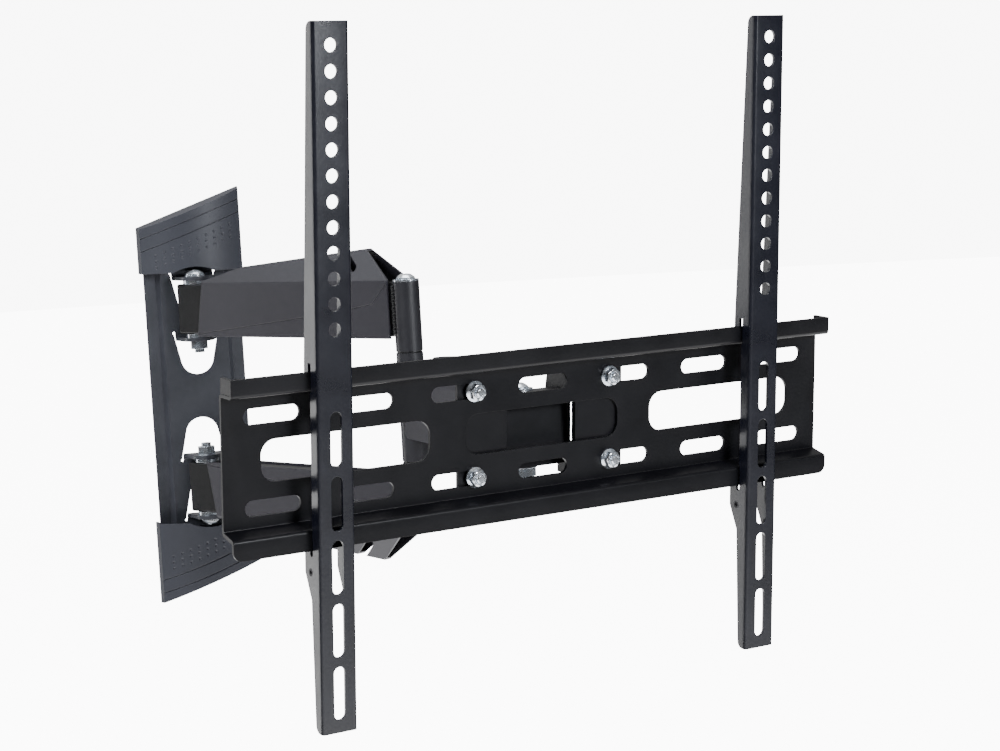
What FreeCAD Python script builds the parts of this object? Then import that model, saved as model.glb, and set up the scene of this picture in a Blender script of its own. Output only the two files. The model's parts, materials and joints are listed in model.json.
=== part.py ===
import FreeCAD, Part
import math
import os

# Full motion TV wall mount, in millimetres.
# Origin: centre of the wall plate's back face. +Z is up, the room and the TV are towards -Y.
# The two rear arms mirror each other about the plane z = 0.

# ---- pose the mount is stored in, degrees from straight out of the wall -------------------
ARM_ANGLE = 32.3
FOREARM_ANGLE = 9.0
HEAD_ANGLE = 18.9
TILT_ANGLE = 5.65

# ---- hinge positions -----------------------------------------------------------------------
SHOULDER_Y = -28.5
ARM_LENGTH = 248.0
FOREARM_LENGTH = 200.0
PLATE_AHEAD_OF_TILT = 27.5
PLATE_ABOVE_TILT = 5.9

# ---- wall plate ----------------------------------------------------------------------------
WALL_SHEET = 3.0
WALL_HALF_HEIGHT = 137.0
WALL_HALF_WIDTH = 39.5
WALL_RAISED = 8.5
RAISED_FOOT_HALF_WIDTH = 30.0
RAISED_TOP_HALF_WIDTH = 26.5
RAISED_FOOT_HALF_HEIGHT = 112.0
RAISED_TOP_HALF_HEIGHT = 108.5
EAR_ROOTS = (103.0, 53.0)
EAR_BEND = 3.0
EAR_HALF_WIDTH = 17.0
EAR_TIP_Y = -39.5
EAR_TIP_RADIUS = 12.0
CUTOUT_LENGTH = 35.0
CUTOUT_HALF_WIDTH = 18.6
CUTOUT_TIP_RADIUS = 13.5
RELIEF_ABOVE_BEND = 0.2
RELIEF_EXTRA = 0.35
PRESSED_WALL_SHARE = 0.45
LAG_HOLE_Z = 124.0
LAG_HOLE_RADIUS = 4.25

# ---- plastic end covers --------------------------------------------------------------------
COVER_INNER_Z = 103.6
COVER_LEFT_Z = 141.6
COVER_RIGHT_Z = 171.9
COVER_HALF_WIDTH = 43.0
COVER_DEPTH = 30.0
COVER_EDGE_DEPTH = 15.0
COVER_DRAFT = 3.0
COVER_WALL = 2.2
COVER_ARCH_HALF_WIDTH = 17.0
COVER_ARCH_RISE = 4.2
COVER_GROOVES = (9.4, 19.9)
GROOVE_WIDTH = 1.1
GROOVE_DEPTH = 0.8
DIMPLE_ROWS = 3
DIMPLE_COLUMNS = 10
DIMPLE_PITCH_X = 7.0
DIMPLE_PITCH_Z = 5.0
DIMPLE_RADIUS = 1.5
DIMPLE_DEPTH = 0.6
DIMPLE_FIRST_X = -30.5
DIMPLE_BELOW_EDGE = 27.5

# ---- fasteners -----------------------------------------------------------------------------
M8_RADIUS = 4.0
M8_HEX = 13.0
M8_NUT_HEIGHT = 6.5
M10_RADIUS = 5.0
M10_HEX = 16.0
M10_NUT_HEIGHT = 8.0
M6_RADIUS = 3.0
M6_HEX = 10.0
RUNNING_CLEARANCE = 0.05
FIXED_CLEARANCE = 0.1
FACE_CLEARANCE = 0.1
THREAD_BEYOND_NUT = 3.0
HEAD_RIM_SHARE = 0.25
NUT_FACE_INSET = 0.2
OVERLAP = 0.3

# ---- shoulder hinges -----------------------------------------------------------------------
SHOULDER_HEAD_RADIUS = 7.2
SHOULDER_HEAD_HEIGHT = 4.2
SHOULDER_WASHER_RADIUS = 9.8
HEAD_WASHER_RADIUS = 8.0
HEAD_WASHER_THICKNESS = 1.2

# ---- rear arms -----------------------------------------------------------------------------
BEAM_WIDTH = 19.0
BEAM_WALL = 2.5
BEAM_BOTTOM = 53.0
BEAM_TOP = 94.0
BEAM_BEHIND_AXIS = 12.0
BEAM_CORNER = 2.0
SHELL_WIDTH = 24.4
SHELL_WALL = 2.0
SHELL_INNER_EDGE = 51.6
SHELL_CREASE = 95.2
SHELL_RIDGE_WIDTH = 5.4
SHELL_REAR_LOW = 14.2
SHELL_REAR_HIGH = 23.3
SHELL_REAR_TOP = 96.5
SHELL_KNEE = (69.0, 107.3)
SHELL_PEAK = (210.0, 119.0)
SHELL_END = 240.0
SHELL_LINE = ((15.5, 53.5), (146.0, 67.5), (202.0, 74.4), (222.7, 77.5), (239.0, 92.5))
SHELL_LINE_WIDTH = 0.9
SHELL_LINE_DEPTH = 0.6
CABLE_NOTCH_END = (200.5, 105.0)
CABLE_NOTCH_ANGLE = 141.7
CABLE_NOTCH_RADIUS = 3.2
CABLE_NOTCH_LENGTH = 40.0

# ---- elbow ---------------------------------------------------------------------------------
SLEEVE_RADIUS = 10.1
SLEEVE_START = 42.0
UPPER_SLEEVE_END = 94.0
LOWER_SLEEVE_END = 85.0
MIDDLE_SLEEVE_HALF = 40.5
RING_RADIUS = 9.5
ELBOW_WASHER_RADIUS = 10.0
ELBOW_WASHER_THICKNESS = 1.5
ELBOW_HEAD_RADIUS = 7.3
ELBOW_HEAD_HEIGHT = 4.6
ELBOW_SOCKET = 6.0
SOCKET_DEPTH = 2.6
ELBOW_THREAD_BEYOND_NUT = 1.5
WELD_RADIUS = 2.0
WELD_STEP = 2.6
WELD_WOBBLE = 0.25
WELD_SETBACK = 3.0
WELD_INSET = 0.4

# ---- forearm -------------------------------------------------------------------------------
FORE_BEAM_HALF_WIDTH = 8.5
FORE_BEAM_HALF_HEIGHT = 19.6
FORE_NECK_HALF_WIDTH = 6.5
FORE_TAPER_START = 142.0
FORE_TAPER_END = 166.0
FORE_SLEEVE_HALF = 22.0
FORE_SHELL_BOTTOM = -21.6
FORE_SHELL_CREASE = 20.9
FORE_SHELL_REAR_LOW = 12.5
FORE_SHELL_REAR_HIGH = 16.0
FORE_SHELL_REAR_TOP = 21.9
FORE_SHELL_FRONT = 150.0
FORE_SHELL_RISE = (60.0, 40.5)
FORE_SHELL_PEAK = (112.0, 43.6)
FORE_SHELL_CORNER = 6.0

# ---- swivel yoke and tilt bracket ----------------------------------------------------------
YOKE_SHEET = 3.0
YOKE_HALF_WIDTH = 27.0
YOKE_EAR_RADIUS = 13.0
YOKE_FRONT_Y = -14.4
YOKE_CHEEK_RADIUS = 11.5
BRACKET_SHEET = 2.5
BRACKET_HALF_WIDTH = 65.0
BRACKET_HALF_HEIGHT = 40.0
BRACKET_EAR_INNER = 27.3
BRACKET_OPENING_HALF_HEIGHT = 34.5
BRACKET_EAR_TOP = 42.0
BRACKET_EAR_BOTTOM = -32.0
BRACKET_EAR_OUTLINE = ((-4.5, -32.0), (-4.5, -21.0), (12.5, -8.0), (12.5, 11.0), (9.0, 31.0), (0.0, 42.0))
BRACKET_EAR_WINDOW = ((4.2, 9.0), (-9.0, 21.0))
TILT_HEAD_RADIUS = 7.5
TILT_HEAD_HEIGHT = 4.5
TILT_WASHER_RADIUS = 9.0
TILT_WASHER_THICKNESS = 1.5
SWIVEL_HEAD_RADIUS = 7.2
SWIVEL_HEAD_HEIGHT = 4.2
SWIVEL_NUT_HEIGHT = 6.0
SWIVEL_THREAD_BEYOND_NUT = 2.0
TILT_NUT_HEIGHT = 5.2

# ---- VESA plate ----------------------------------------------------------------------------
PLATE_SHEET = 2.2
PLATE_HALF_WIDTH = 234.0
PLATE_TOP_SHELF = 42.5
PLATE_TOP_LIP = 54.7
PLATE_BOTTOM = -43.3
PLATE_BOTTOM_SHELF = -46.2
PLATE_BOTTOM_LIP = -57.0
LIP_FORWARD = 13.7
LOWER_LIP_FORWARD = 13.0
PLATE_BEND_RADIUS = 1.2
PLATE_SLOT_ROWS = (28.5, -28.5)
PLATE_SLOT_PITCH = 66.7
PLATE_SLOT_LENGTH = 38.6
PLATE_SLOT_RADIUS = 5.1
WINDOW_HALF_HEIGHT = 13.4
WINDOW_CENTRES = (-147.5, 0.0, 147.5)
WINDOW_HALF_WIDTH = 60.4
WINDOW_CORNER = 10.0
LIP_CORNER = 6.0
STOP_GAP = 0.3
NUT_X = 53.4
NUT_Z = 28.3
FLANGE_NUT_RADIUS = 6.9
FLANGE_NUT_FLANGE = 2.4
FLANGE_NUT_NECK_RADIUS = 5.4
FLANGE_NUT_HEIGHT = 6.0
STUD_HEAD_RADIUS = 7.0
STUD_HEAD_HEIGHT = 3.2
STUD_BEYOND_NUT = 2.0

# ---- VESA bars -----------------------------------------------------------------------------
BAR_X = 168.0
BAR_FRONT = 23.0
BAR_SHEET = 2.0
BAR_HALF_WIDTH = 12.4
BAR_TOP = 265.6
BAR_BOTTOM = -173.0
BAR_TOP_DEPTH = 8.2
BAR_HOOK_DEPTH = 17.3
BAR_FOOT_DEPTH = 19.8
BAR_STEP_DEPTH = 12.0
BAR_END_DEPTH = 8.6
BAR_STEP_Z = (-72.0, -88.5)
BAR_BETWEEN_DEPTH = 10.0
BAR_CORNER = 4.0
BAR_EDGE_RADIUS = 1.8
HOOK_TOP = 58.6
HOOK_BOTTOM = 46.4
FOOT_TOP = -49.0
LIP_NOTCH_BOTTOM = -60.9
HOOK_PLAY = 0.5
HOLE_COUNT = 12
HOLE_PITCH = 15.5
HOLE_RADIUS = 4.3
FIRST_HOLE_Z = 251.3
BAR_SLOT_COUNT = 5
BAR_SLOT_PITCH = 40.2
BAR_SLOT_LENGTH = 34.3
BAR_SLOT_RADIUS = 4.0
FIRST_SLOT_Z = 13.2
LOCK_SCREW_RADIUS = 2.5
LOCK_SCREW_BEHIND_FRONT = 12.5
LOCK_SCREW_Z = -71.0
LOCK_SCREW_LENGTH = 7.0
LOCK_SCREW_SOCKET = 2.5
LOCK_SCREW_SOCKET_DEPTH = 1.0

UP = FreeCAD.Vector(0, 0, 1)
RIGHT = FreeCAD.Vector(1, 0, 0)
BACK = FreeCAD.Vector(0, 1, 0)
FAR = 600.0
TOUCH = 0.01
PARALLEL = 0.99


# ---- small helpers -------------------------------------------------------------------------
def vec(x, y, z):
    return FreeCAD.Vector(x, y, z)


def near(first, second):
    return abs(first - second) < TOUCH


def box(x0, x1, y0, y1, z0, z1):
    return Part.makeBox(x1 - x0, y1 - y0, z1 - z0, vec(x0, y0, z0))


def rod(radius, start, end):
    direction = end - start
    return Part.makeCylinder(radius, direction.Length, start, direction)


def tube(outer, inner, start, end):
    return rod(outer, start, end).cut(rod(inner, start, end))


def prism(points, direction):
    """A solid from a closed outline, swept along a direction."""
    outline = Part.makePolygon(points + [points[0]])
    return Part.Face(outline).extrude(direction)


def fuse(shapes):
    whole = shapes[0]
    if len(shapes) > 1:
        whole = whole.multiFuse(shapes[1:])
    return whole.removeSplitter()


def mirror_down(shape):
    return shape.mirror(vec(0, 0, 0), UP)


def slot_y(x, z, length, radius, y0, y1, along):
    """A round-ended slot cut along Y, lying along X or along Z."""
    half = length / 2 - radius
    if along == "x":
        ends = (vec(x - half, 0, z), vec(x + half, 0, z))
        middle = box(x - half, x + half, y0, y1, z - radius, z + radius)
    else:
        ends = (vec(x, 0, z - half), vec(x, 0, z + half))
        middle = box(x - radius, x + radius, y0, y1, z - half, z + half)
    rounds = [rod(radius, vec(p.x, y0, p.z), vec(p.x, y1, p.z)) for p in ends]
    return fuse([middle] + rounds)


def hexagon(across_flats, start, end):
    """A hexagonal prism between two points on a line along Z, X or Y."""
    direction = end - start
    corner = across_flats / math.sqrt(3.0)
    points = []
    for i in range(6):
        angle = math.radians(60 * i + 30)
        points.append(vec(corner * math.cos(angle), corner * math.sin(angle), 0))
    solid = prism(points, vec(0, 0, direction.Length))
    solid.Placement = FreeCAD.Placement(start, FreeCAD.Rotation(UP, direction))
    return solid


def domed_head(radius, height, start, direction):
    """A button head: a shallow dome that stands on start and rises along direction."""
    rim = height * HEAD_RIM_SHARE
    rise = height - rim
    ball = (radius * radius + rise * rise) / (2 * rise)
    foot = rod(radius, vec(0, 0, 0), vec(0, 0, height))
    dome = Part.makeSphere(ball, vec(0, 0, height - ball))
    head = foot.common(dome)
    head.Placement = FreeCAD.Placement(start, FreeCAD.Rotation(UP, direction))
    return head


def hex_nut(across_flats, height, bore, start, direction):
    """A hexagonal nut with its corners turned off, standing on start."""
    end = vec(0, 0, height)
    nut = hexagon(across_flats, vec(0, 0, 0), end)
    corner = across_flats / math.sqrt(3.0)
    chamfer = corner - across_flats / 2
    cone = Part.makeCone(corner + height, across_flats / 2 - NUT_FACE_INSET, height + chamfer, vec(0, 0, 0))
    nut = nut.common(cone).cut(rod(bore, vec(0, 0, -1), vec(0, 0, height + 1)))
    nut.Placement = FreeCAD.Placement(start, FreeCAD.Rotation(UP, direction))
    return nut


def placed(shape, frame):
    copy = shape.copy()
    copy.Placement = frame.multiply(copy.Placement)
    return copy


def turned(origin, angle):
    """A frame at origin, turned about the vertical."""
    return FreeCAD.Placement(origin, FreeCAD.Rotation(UP, angle))


# ---- frames of the moving bodies ----------------------------------------------------------
def arm_frame():
    return turned(vec(0, SHOULDER_Y, 0), ARM_ANGLE - 90)


def forearm_frame():
    elbow = arm_frame().multVec(vec(ARM_LENGTH, 0, 0))
    return turned(elbow, FOREARM_ANGLE - 90)


def head_frame():
    swivel = forearm_frame().multVec(vec(FOREARM_LENGTH, 0, 0))
    return turned(swivel, HEAD_ANGLE)


def tilt_frame():
    tilt = FreeCAD.Placement(vec(0, 0, 0), FreeCAD.Rotation(RIGHT, TILT_ANGLE))
    return head_frame().multiply(tilt)


def plate_frame():
    offset = FreeCAD.Placement(vec(0, -PLATE_AHEAD_OF_TILT, PLATE_ABOVE_TILT), FreeCAD.Rotation())
    return tilt_frame().multiply(offset)


# ---- wall plate ----------------------------------------------------------------------------
def tapered_tab(half_width, tip_radius, length):
    """Half of a wide U: straight sides that close in on a round tip, in X and length."""
    side = math.asin((half_width - tip_radius) / (length - tip_radius))
    touch_x = tip_radius * math.cos(side)
    touch_l = length - tip_radius + tip_radius * math.sin(side)
    return touch_x, touch_l


def tab_xy(half_width, tip_radius, y_root, y_tip, z0, z1):
    """The ear's plan: a tapered tab from y_root to y_tip, between two heights."""
    length = y_root - y_tip
    touch_x, touch_l = tapered_tab(half_width, tip_radius, length)
    points = [
        vec(-half_width, y_root, z0),
        vec(half_width, y_root, z0),
        vec(touch_x, y_root - touch_l, z0),
        vec(-touch_x, y_root - touch_l, z0),
    ]
    body = prism(points, vec(0, 0, z1 - z0))
    centre_y = y_tip + tip_radius
    tip = rod(tip_radius, vec(0, centre_y, z0), vec(0, centre_y, z1))
    return fuse([body, tip])


def cutout(root_z):
    """The opening that an ear was bent out of, with a relief notch at each end of the bend."""
    top = root_z + RELIEF_ABOVE_BEND
    tip_z = root_z - CUTOUT_LENGTH
    touch_x, touch_l = tapered_tab(CUTOUT_HALF_WIDTH, CUTOUT_TIP_RADIUS, CUTOUT_LENGTH)
    points = [
        vec(-CUTOUT_HALF_WIDTH, -FAR, top),
        vec(CUTOUT_HALF_WIDTH, -FAR, top),
        vec(touch_x, -FAR, root_z - touch_l),
        vec(-touch_x, -FAR, root_z - touch_l),
    ]
    body = prism(points, vec(0, 2 * FAR, 0))
    centre_z = tip_z + CUTOUT_TIP_RADIUS
    tip = rod(CUTOUT_TIP_RADIUS, vec(0, -FAR, centre_z), vec(0, FAR, centre_z))
    notch_radius = (CUTOUT_HALF_WIDTH - EAR_HALF_WIDTH) / 2 + RELIEF_EXTRA
    notch_x = EAR_HALF_WIDTH + notch_radius
    notches = [
        rod(notch_radius, vec(side * notch_x, -FAR, top), vec(side * notch_x, FAR, top))
        for side in (-1, 1)
    ]
    return fuse([body, tip] + notches)


def wall_ear(root_z):
    """A hinge ear bent forward out of the raised strip, with its bolt hole."""
    front = -WALL_RAISED
    bend_y = front - EAR_BEND
    outer = EAR_BEND + WALL_SHEET
    ring = tube(outer, EAR_BEND, vec(-EAR_HALF_WIDTH, bend_y, root_z), vec(EAR_HALF_WIDTH, bend_y, root_z))
    quarter = box(-FAR, FAR, bend_y, bend_y + outer, root_z - outer, root_z)
    bend = ring.common(quarter)
    stub = box(-EAR_HALF_WIDTH, EAR_HALF_WIDTH, front, front + WALL_SHEET, root_z, root_z + OVERLAP)
    top = root_z - EAR_BEND
    flat = tab_xy(EAR_HALF_WIDTH, EAR_TIP_RADIUS, bend_y, EAR_TIP_Y, top - WALL_SHEET, top)
    hole = rod(M8_RADIUS + FIXED_CLEARANCE, vec(0, SHOULDER_Y, top - FAR), vec(0, SHOULDER_Y, top + 1))
    return fuse([bend, stub, flat]).cut(hole)


def pressed_block(y0, half_x0, half_z0, y1, half_x1, half_z1):
    """The sloped block between two rectangles, one in front of the other."""
    def rectangle(y, half_x, half_z):
        corners = [
            vec(-half_x, y, -half_z),
            vec(half_x, y, -half_z),
            vec(half_x, y, half_z),
            vec(-half_x, y, half_z),
        ]
        return Part.makePolygon(corners + [corners[0]])

    return Part.makeLoft([rectangle(y0, half_x0, half_z0), rectangle(y1, half_x1, half_z1)], True, True)


def make_wall_plate():
    """A flat sheet with a long panel pressed forward, and four hinge ears cut out of the panel."""
    t = WALL_SHEET
    inset = WALL_SHEET * PRESSED_WALL_SHARE
    sheet = box(-WALL_HALF_WIDTH, WALL_HALF_WIDTH, -t, 0, -WALL_HALF_HEIGHT, WALL_HALF_HEIGHT)
    raised = pressed_block(-t, RAISED_FOOT_HALF_WIDTH, RAISED_FOOT_HALF_HEIGHT,
                           -WALL_RAISED, RAISED_TOP_HALF_WIDTH, RAISED_TOP_HALF_HEIGHT)
    hollow = pressed_block(0, RAISED_FOOT_HALF_WIDTH - inset, RAISED_FOOT_HALF_HEIGHT - inset,
                           t - WALL_RAISED, RAISED_TOP_HALF_WIDTH - inset, RAISED_TOP_HALF_HEIGHT - inset)
    plate = fuse([sheet, raised]).cut(hollow)
    openings = []
    ears = []
    for root_z in EAR_ROOTS:
        openings += [cutout(root_z), mirror_down(cutout(root_z))]
        ears += [wall_ear(root_z), mirror_down(wall_ear(root_z))]
    for hole_z in (-LAG_HOLE_Z, LAG_HOLE_Z):
        openings.append(rod(LAG_HOLE_RADIUS, vec(0, -FAR, hole_z), vec(0, FAR, hole_z)))
    return fuse([plate.cut(openings)] + ears)


# ---- end covers ----------------------------------------------------------------------------
def cover_edge_z(x):
    """Height of the cover's slanted outer edge."""
    share = (x + COVER_HALF_WIDTH) / (2 * COVER_HALF_WIDTH)
    return COVER_LEFT_Z + share * (COVER_RIGHT_Z - COVER_LEFT_Z)


def cover_block(inset, inner_z, bulge_radius, bulge_y):
    """A drafted block with a slanted outer end and a front that bulges about a vertical axis."""
    def outline(y, extra):
        half = COVER_HALF_WIDTH - inset - extra
        low = inner_z
        corners = [
            vec(-half, y, low),
            vec(half, y, low),
            vec(half, y, cover_edge_z(half) - inset - extra),
            vec(-half, y, cover_edge_z(-half) - inset - extra),
        ]
        return Part.makePolygon(corners + [corners[0]])

    block = Part.makeLoft([outline(0, 0), outline(-COVER_DEPTH - 2, COVER_DRAFT)], True, True)
    bulge = rod(bulge_radius, vec(0, bulge_y, 0), vec(0, bulge_y, FAR))
    return block.common(bulge)


def make_upper_cover():
    half = COVER_HALF_WIDTH - COVER_DRAFT / 2
    rise = COVER_DEPTH - COVER_EDGE_DEPTH
    radius = (half * half + rise * rise) / (2 * rise)
    axis_y = radius - COVER_DEPTH
    outer = cover_block(0, COVER_INNER_Z, radius, axis_y)
    inner = cover_block(COVER_WALL, COVER_INNER_Z - 5, radius - COVER_WALL, axis_y)
    cover = outer.cut(inner)
    arch_radius = (COVER_ARCH_HALF_WIDTH ** 2 + COVER_ARCH_RISE ** 2) / (2 * COVER_ARCH_RISE)
    arch_z = COVER_INNER_Z + COVER_ARCH_RISE - arch_radius
    arch = rod(arch_radius, vec(0, -FAR, arch_z), vec(0, -COVER_EDGE_DEPTH, arch_z))
    return cover.cut([arch] + cover_grooves(radius, axis_y) + cover_dimples(radius, axis_y))


def cover_grooves(radius, axis_y):
    """Shallow grooves in the front, parallel to the slanted outer edge."""
    skin = tube(radius + 1, radius - GROOVE_DEPTH, vec(0, axis_y, 0), vec(0, axis_y, FAR))
    grooves = []
    half = COVER_HALF_WIDTH + 1
    for drop in COVER_GROOVES:
        low = cover_edge_z(-half) - drop
        high = cover_edge_z(half) - drop
        points = [
            vec(-half, -FAR, low - GROOVE_WIDTH),
            vec(half, -FAR, high - GROOVE_WIDTH),
            vec(half, -FAR, high),
            vec(-half, -FAR, low),
        ]
        strip = prism(points, vec(0, FAR - COVER_EDGE_DEPTH + 4, 0))
        grooves.append(skin.common(strip))
    return grooves


def cover_dimples(radius, axis_y):
    """Rows of small dimples below the grooves, parallel to the slanted outer edge."""
    dimples = []
    for column in range(DIMPLE_COLUMNS):
        x = DIMPLE_FIRST_X + column * DIMPLE_PITCH_X
        surface_y = axis_y - math.sqrt(radius * radius - x * x)
        lift = DIMPLE_RADIUS - DIMPLE_DEPTH
        for row in range(DIMPLE_ROWS):
            z = cover_edge_z(x) - DIMPLE_BELOW_EDGE - row * DIMPLE_PITCH_Z
            dimples.append(Part.makeSphere(DIMPLE_RADIUS, vec(x, surface_y - lift, z)))
    return dimples


# ---- shoulder hinges -----------------------------------------------------------------------
def shoulder_parts():
    """Bolt, nut and washers of the upper shoulder hinge, in the wall's frame."""
    upper_ear_top = EAR_ROOTS[0] - EAR_BEND
    lower_ear_top = EAR_ROOTS[1] - EAR_BEND
    lower_ear_bottom = lower_ear_top - WALL_SHEET
    y = SHOULDER_Y
    seat = upper_ear_top + HEAD_WASHER_THICKNESS
    nut_bottom = lower_ear_bottom - M8_NUT_HEIGHT
    shank = rod(M8_RADIUS, vec(0, y, nut_bottom - THREAD_BEYOND_NUT), vec(0, y, seat))
    head = domed_head(SHOULDER_HEAD_RADIUS, SHOULDER_HEAD_HEIGHT, vec(0, y, seat), UP)
    bolt = fuse([shank, head])
    nut = hex_nut(M8_HEX, M8_NUT_HEIGHT, M8_RADIUS, vec(0, y, lower_ear_bottom), -UP)
    washers = [
        tube(HEAD_WASHER_RADIUS, M8_RADIUS, vec(0, y, upper_ear_top), vec(0, y, seat)),
        tube(SHOULDER_WASHER_RADIUS, M8_RADIUS, vec(0, y, BEAM_TOP + FACE_CLEARANCE),
             vec(0, y, upper_ear_top - WALL_SHEET)),
        tube(SHOULDER_WASHER_RADIUS, M8_RADIUS, vec(0, y, lower_ear_top),
             vec(0, y, BEAM_BOTTOM - FACE_CLEARANCE)),
    ]
    return bolt, nut, washers


# ---- rear arms -----------------------------------------------------------------------------
def arm_beam():
    """The upper arm's steel tube: hinged at s = 0, coped onto the elbow sleeve."""
    half = BEAM_WIDTH / 2
    outer = box(-BEAM_BEHIND_AXIS, ARM_LENGTH, -half, half, BEAM_BOTTOM, BEAM_TOP)
    corners = [e for e in outer.Edges if abs(e.tangentAt(e.FirstParameter).x) > PARALLEL]
    outer = outer.makeFillet(BEAM_CORNER, corners)
    inner = box(-BEAM_BEHIND_AXIS - 1, ARM_LENGTH + 1, -half + BEAM_WALL, half - BEAM_WALL,
                BEAM_BOTTOM + BEAM_WALL, BEAM_TOP - BEAM_WALL)
    hinge = rod(M8_RADIUS + RUNNING_CLEARANCE, vec(0, 0, 0), vec(0, 0, FAR))
    cope = rod(SLEEVE_RADIUS, vec(ARM_LENGTH, 0, 0), vec(ARM_LENGTH, 0, FAR))
    beyond = box(ARM_LENGTH, FAR, -half, half, 0, FAR)
    return outer.cut([inner, hinge, cope, beyond])


def section_prism(half_width, ridge_half, low, crease, top):
    """The bevelled cross-section of a shell, swept along s."""
    points = [
        vec(-FAR, -half_width, low),
        vec(-FAR, half_width, low),
        vec(-FAR, half_width, crease),
        vec(-FAR, ridge_half, top),
        vec(-FAR, -ridge_half, top),
        vec(-FAR, -half_width, crease),
    ]
    return prism(points, vec(2 * FAR, 0, 0))


def ridged_shell(outline, low, crease, top):
    """A plastic shell with a ridged roof, open below, at the rear and across its slanted front.

    outline is the side view, in s and z: the two lower corners first, then the front end of the
    crease, the ridge from front to rear, and the rear end of the crease.
    """
    half = SHELL_WIDTH / 2
    ridge = SHELL_RIDGE_WIDTH / 2
    side = [vec(s, -FAR, z) for s, z in outline]
    outer = prism(side, vec(0, 2 * FAR, 0))
    outer = outer.common(section_prism(half, ridge, low, crease, top))
    roof = [(s, z - SHELL_WALL) for s, z in outline[3:-1]]
    ceiling = crease - SHELL_WALL / 2
    hollow_side = [(-FAR, low - 1), (FAR, low - 1), (FAR, top - SHELL_WALL)]
    hollow_side += roof
    hollow_side += [(outline[-1][0] + SHELL_WALL, ceiling), (-FAR, ceiling)]
    hollow = prism([vec(s, -FAR, z) for s, z in hollow_side], vec(0, 2 * FAR, 0))
    hollow = hollow.common(section_prism(half - SHELL_WALL, ridge, low - 1, ceiling, top - SHELL_WALL))
    return outer.cut(hollow)


def arm_shell():
    """The upper arm's shell, with its engraved lines and cable notch."""
    outline = [
        (SHELL_REAR_LOW, SHELL_INNER_EDGE),
        (SHELL_END, SHELL_INNER_EDGE),
        (SHELL_END, SHELL_CREASE),
        SHELL_PEAK,
        SHELL_KNEE,
        (SHELL_REAR_HIGH, SHELL_REAR_TOP),
    ]
    shell = ridged_shell(outline, SHELL_INNER_EDGE, SHELL_CREASE, SHELL_PEAK[1])
    return shell.cut(shell_lines() + [cable_notch()])


def shell_lines():
    """The fine engraved line along each side of the shell."""
    cuts = []
    half = SHELL_WIDTH / 2
    for first, last in zip(SHELL_LINE[:-1], SHELL_LINE[1:]):
        run = math.hypot(last[0] - first[0], last[1] - first[1])
        across = (-(last[1] - first[1]) / run, (last[0] - first[0]) / run)
        wide = SHELL_LINE_WIDTH / 2
        points = [
            (first[0] + across[0] * wide, first[1] + across[1] * wide),
            (last[0] + across[0] * wide, last[1] + across[1] * wide),
            (last[0] - across[0] * wide, last[1] - across[1] * wide),
            (first[0] - across[0] * wide, first[1] - across[1] * wide),
        ]
        strip = prism([vec(s, -half - 1, z) for s, z in points], vec(0, 1 + SHELL_LINE_DEPTH, 0))
        cuts += [strip, strip.mirror(vec(0, 0, 0), BACK)]
    return cuts


def cable_notch():
    """A slanted notch across the ridge and both bevels, that lets a cable in."""
    s, z = CABLE_NOTCH_END
    angle = math.radians(CABLE_NOTCH_ANGLE)
    end = vec(s, -FAR, z)
    beyond = end + vec(math.cos(angle), 0, math.sin(angle)) * CABLE_NOTCH_LENGTH
    aside = vec(-math.sin(angle), 0, math.cos(angle)) * CABLE_NOTCH_RADIUS
    across = vec(0, 2 * FAR, 0)
    straight = prism([end - aside, end + aside, beyond + aside, beyond - aside], across)
    return fuse([straight, rod(CABLE_NOTCH_RADIUS, end, end + across)])


def elbow_sleeve(end):
    """The sleeve of the upper rear arm, from the spacer ring out to the washer."""
    return tube(SLEEVE_RADIUS, M10_RADIUS, vec(ARM_LENGTH, 0, SLEEVE_START), vec(ARM_LENGTH, 0, end))


def weld_bead(x, y, z0, z1, keep_off):
    """A column of overlapping blobs, trimmed off the pieces that it joins."""
    count = int((z1 - z0) / WELD_STEP)
    blobs = []
    for i in range(count + 1):
        wobble = WELD_WOBBLE * (-1) ** i
        blobs.append(Part.makeSphere(WELD_RADIUS, vec(x + wobble, y, z0 + i * WELD_STEP)))
    return fuse(blobs).cut(keep_off)


def arm_welds(sleeve_end):
    """The weld beads on both sides of the joint between the upper beam and its sleeve."""
    half = BEAM_WIDTH / 2
    contact = math.sqrt(SLEEVE_RADIUS ** 2 - half ** 2)
    x = ARM_LENGTH - contact - WELD_RADIUS / 2
    keep_off = [arm_beam(), arm_shell(), rod(SLEEVE_RADIUS, vec(ARM_LENGTH, 0, 0), vec(ARM_LENGTH, 0, FAR))]
    beads = []
    for side in (-1, 1):
        bead = weld_bead(x, side * (half - WELD_INSET), BEAM_BOTTOM + WELD_SETBACK,
                         sleeve_end - WELD_SETBACK, keep_off)
        beads += bead.Solids
    return beads


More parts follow.
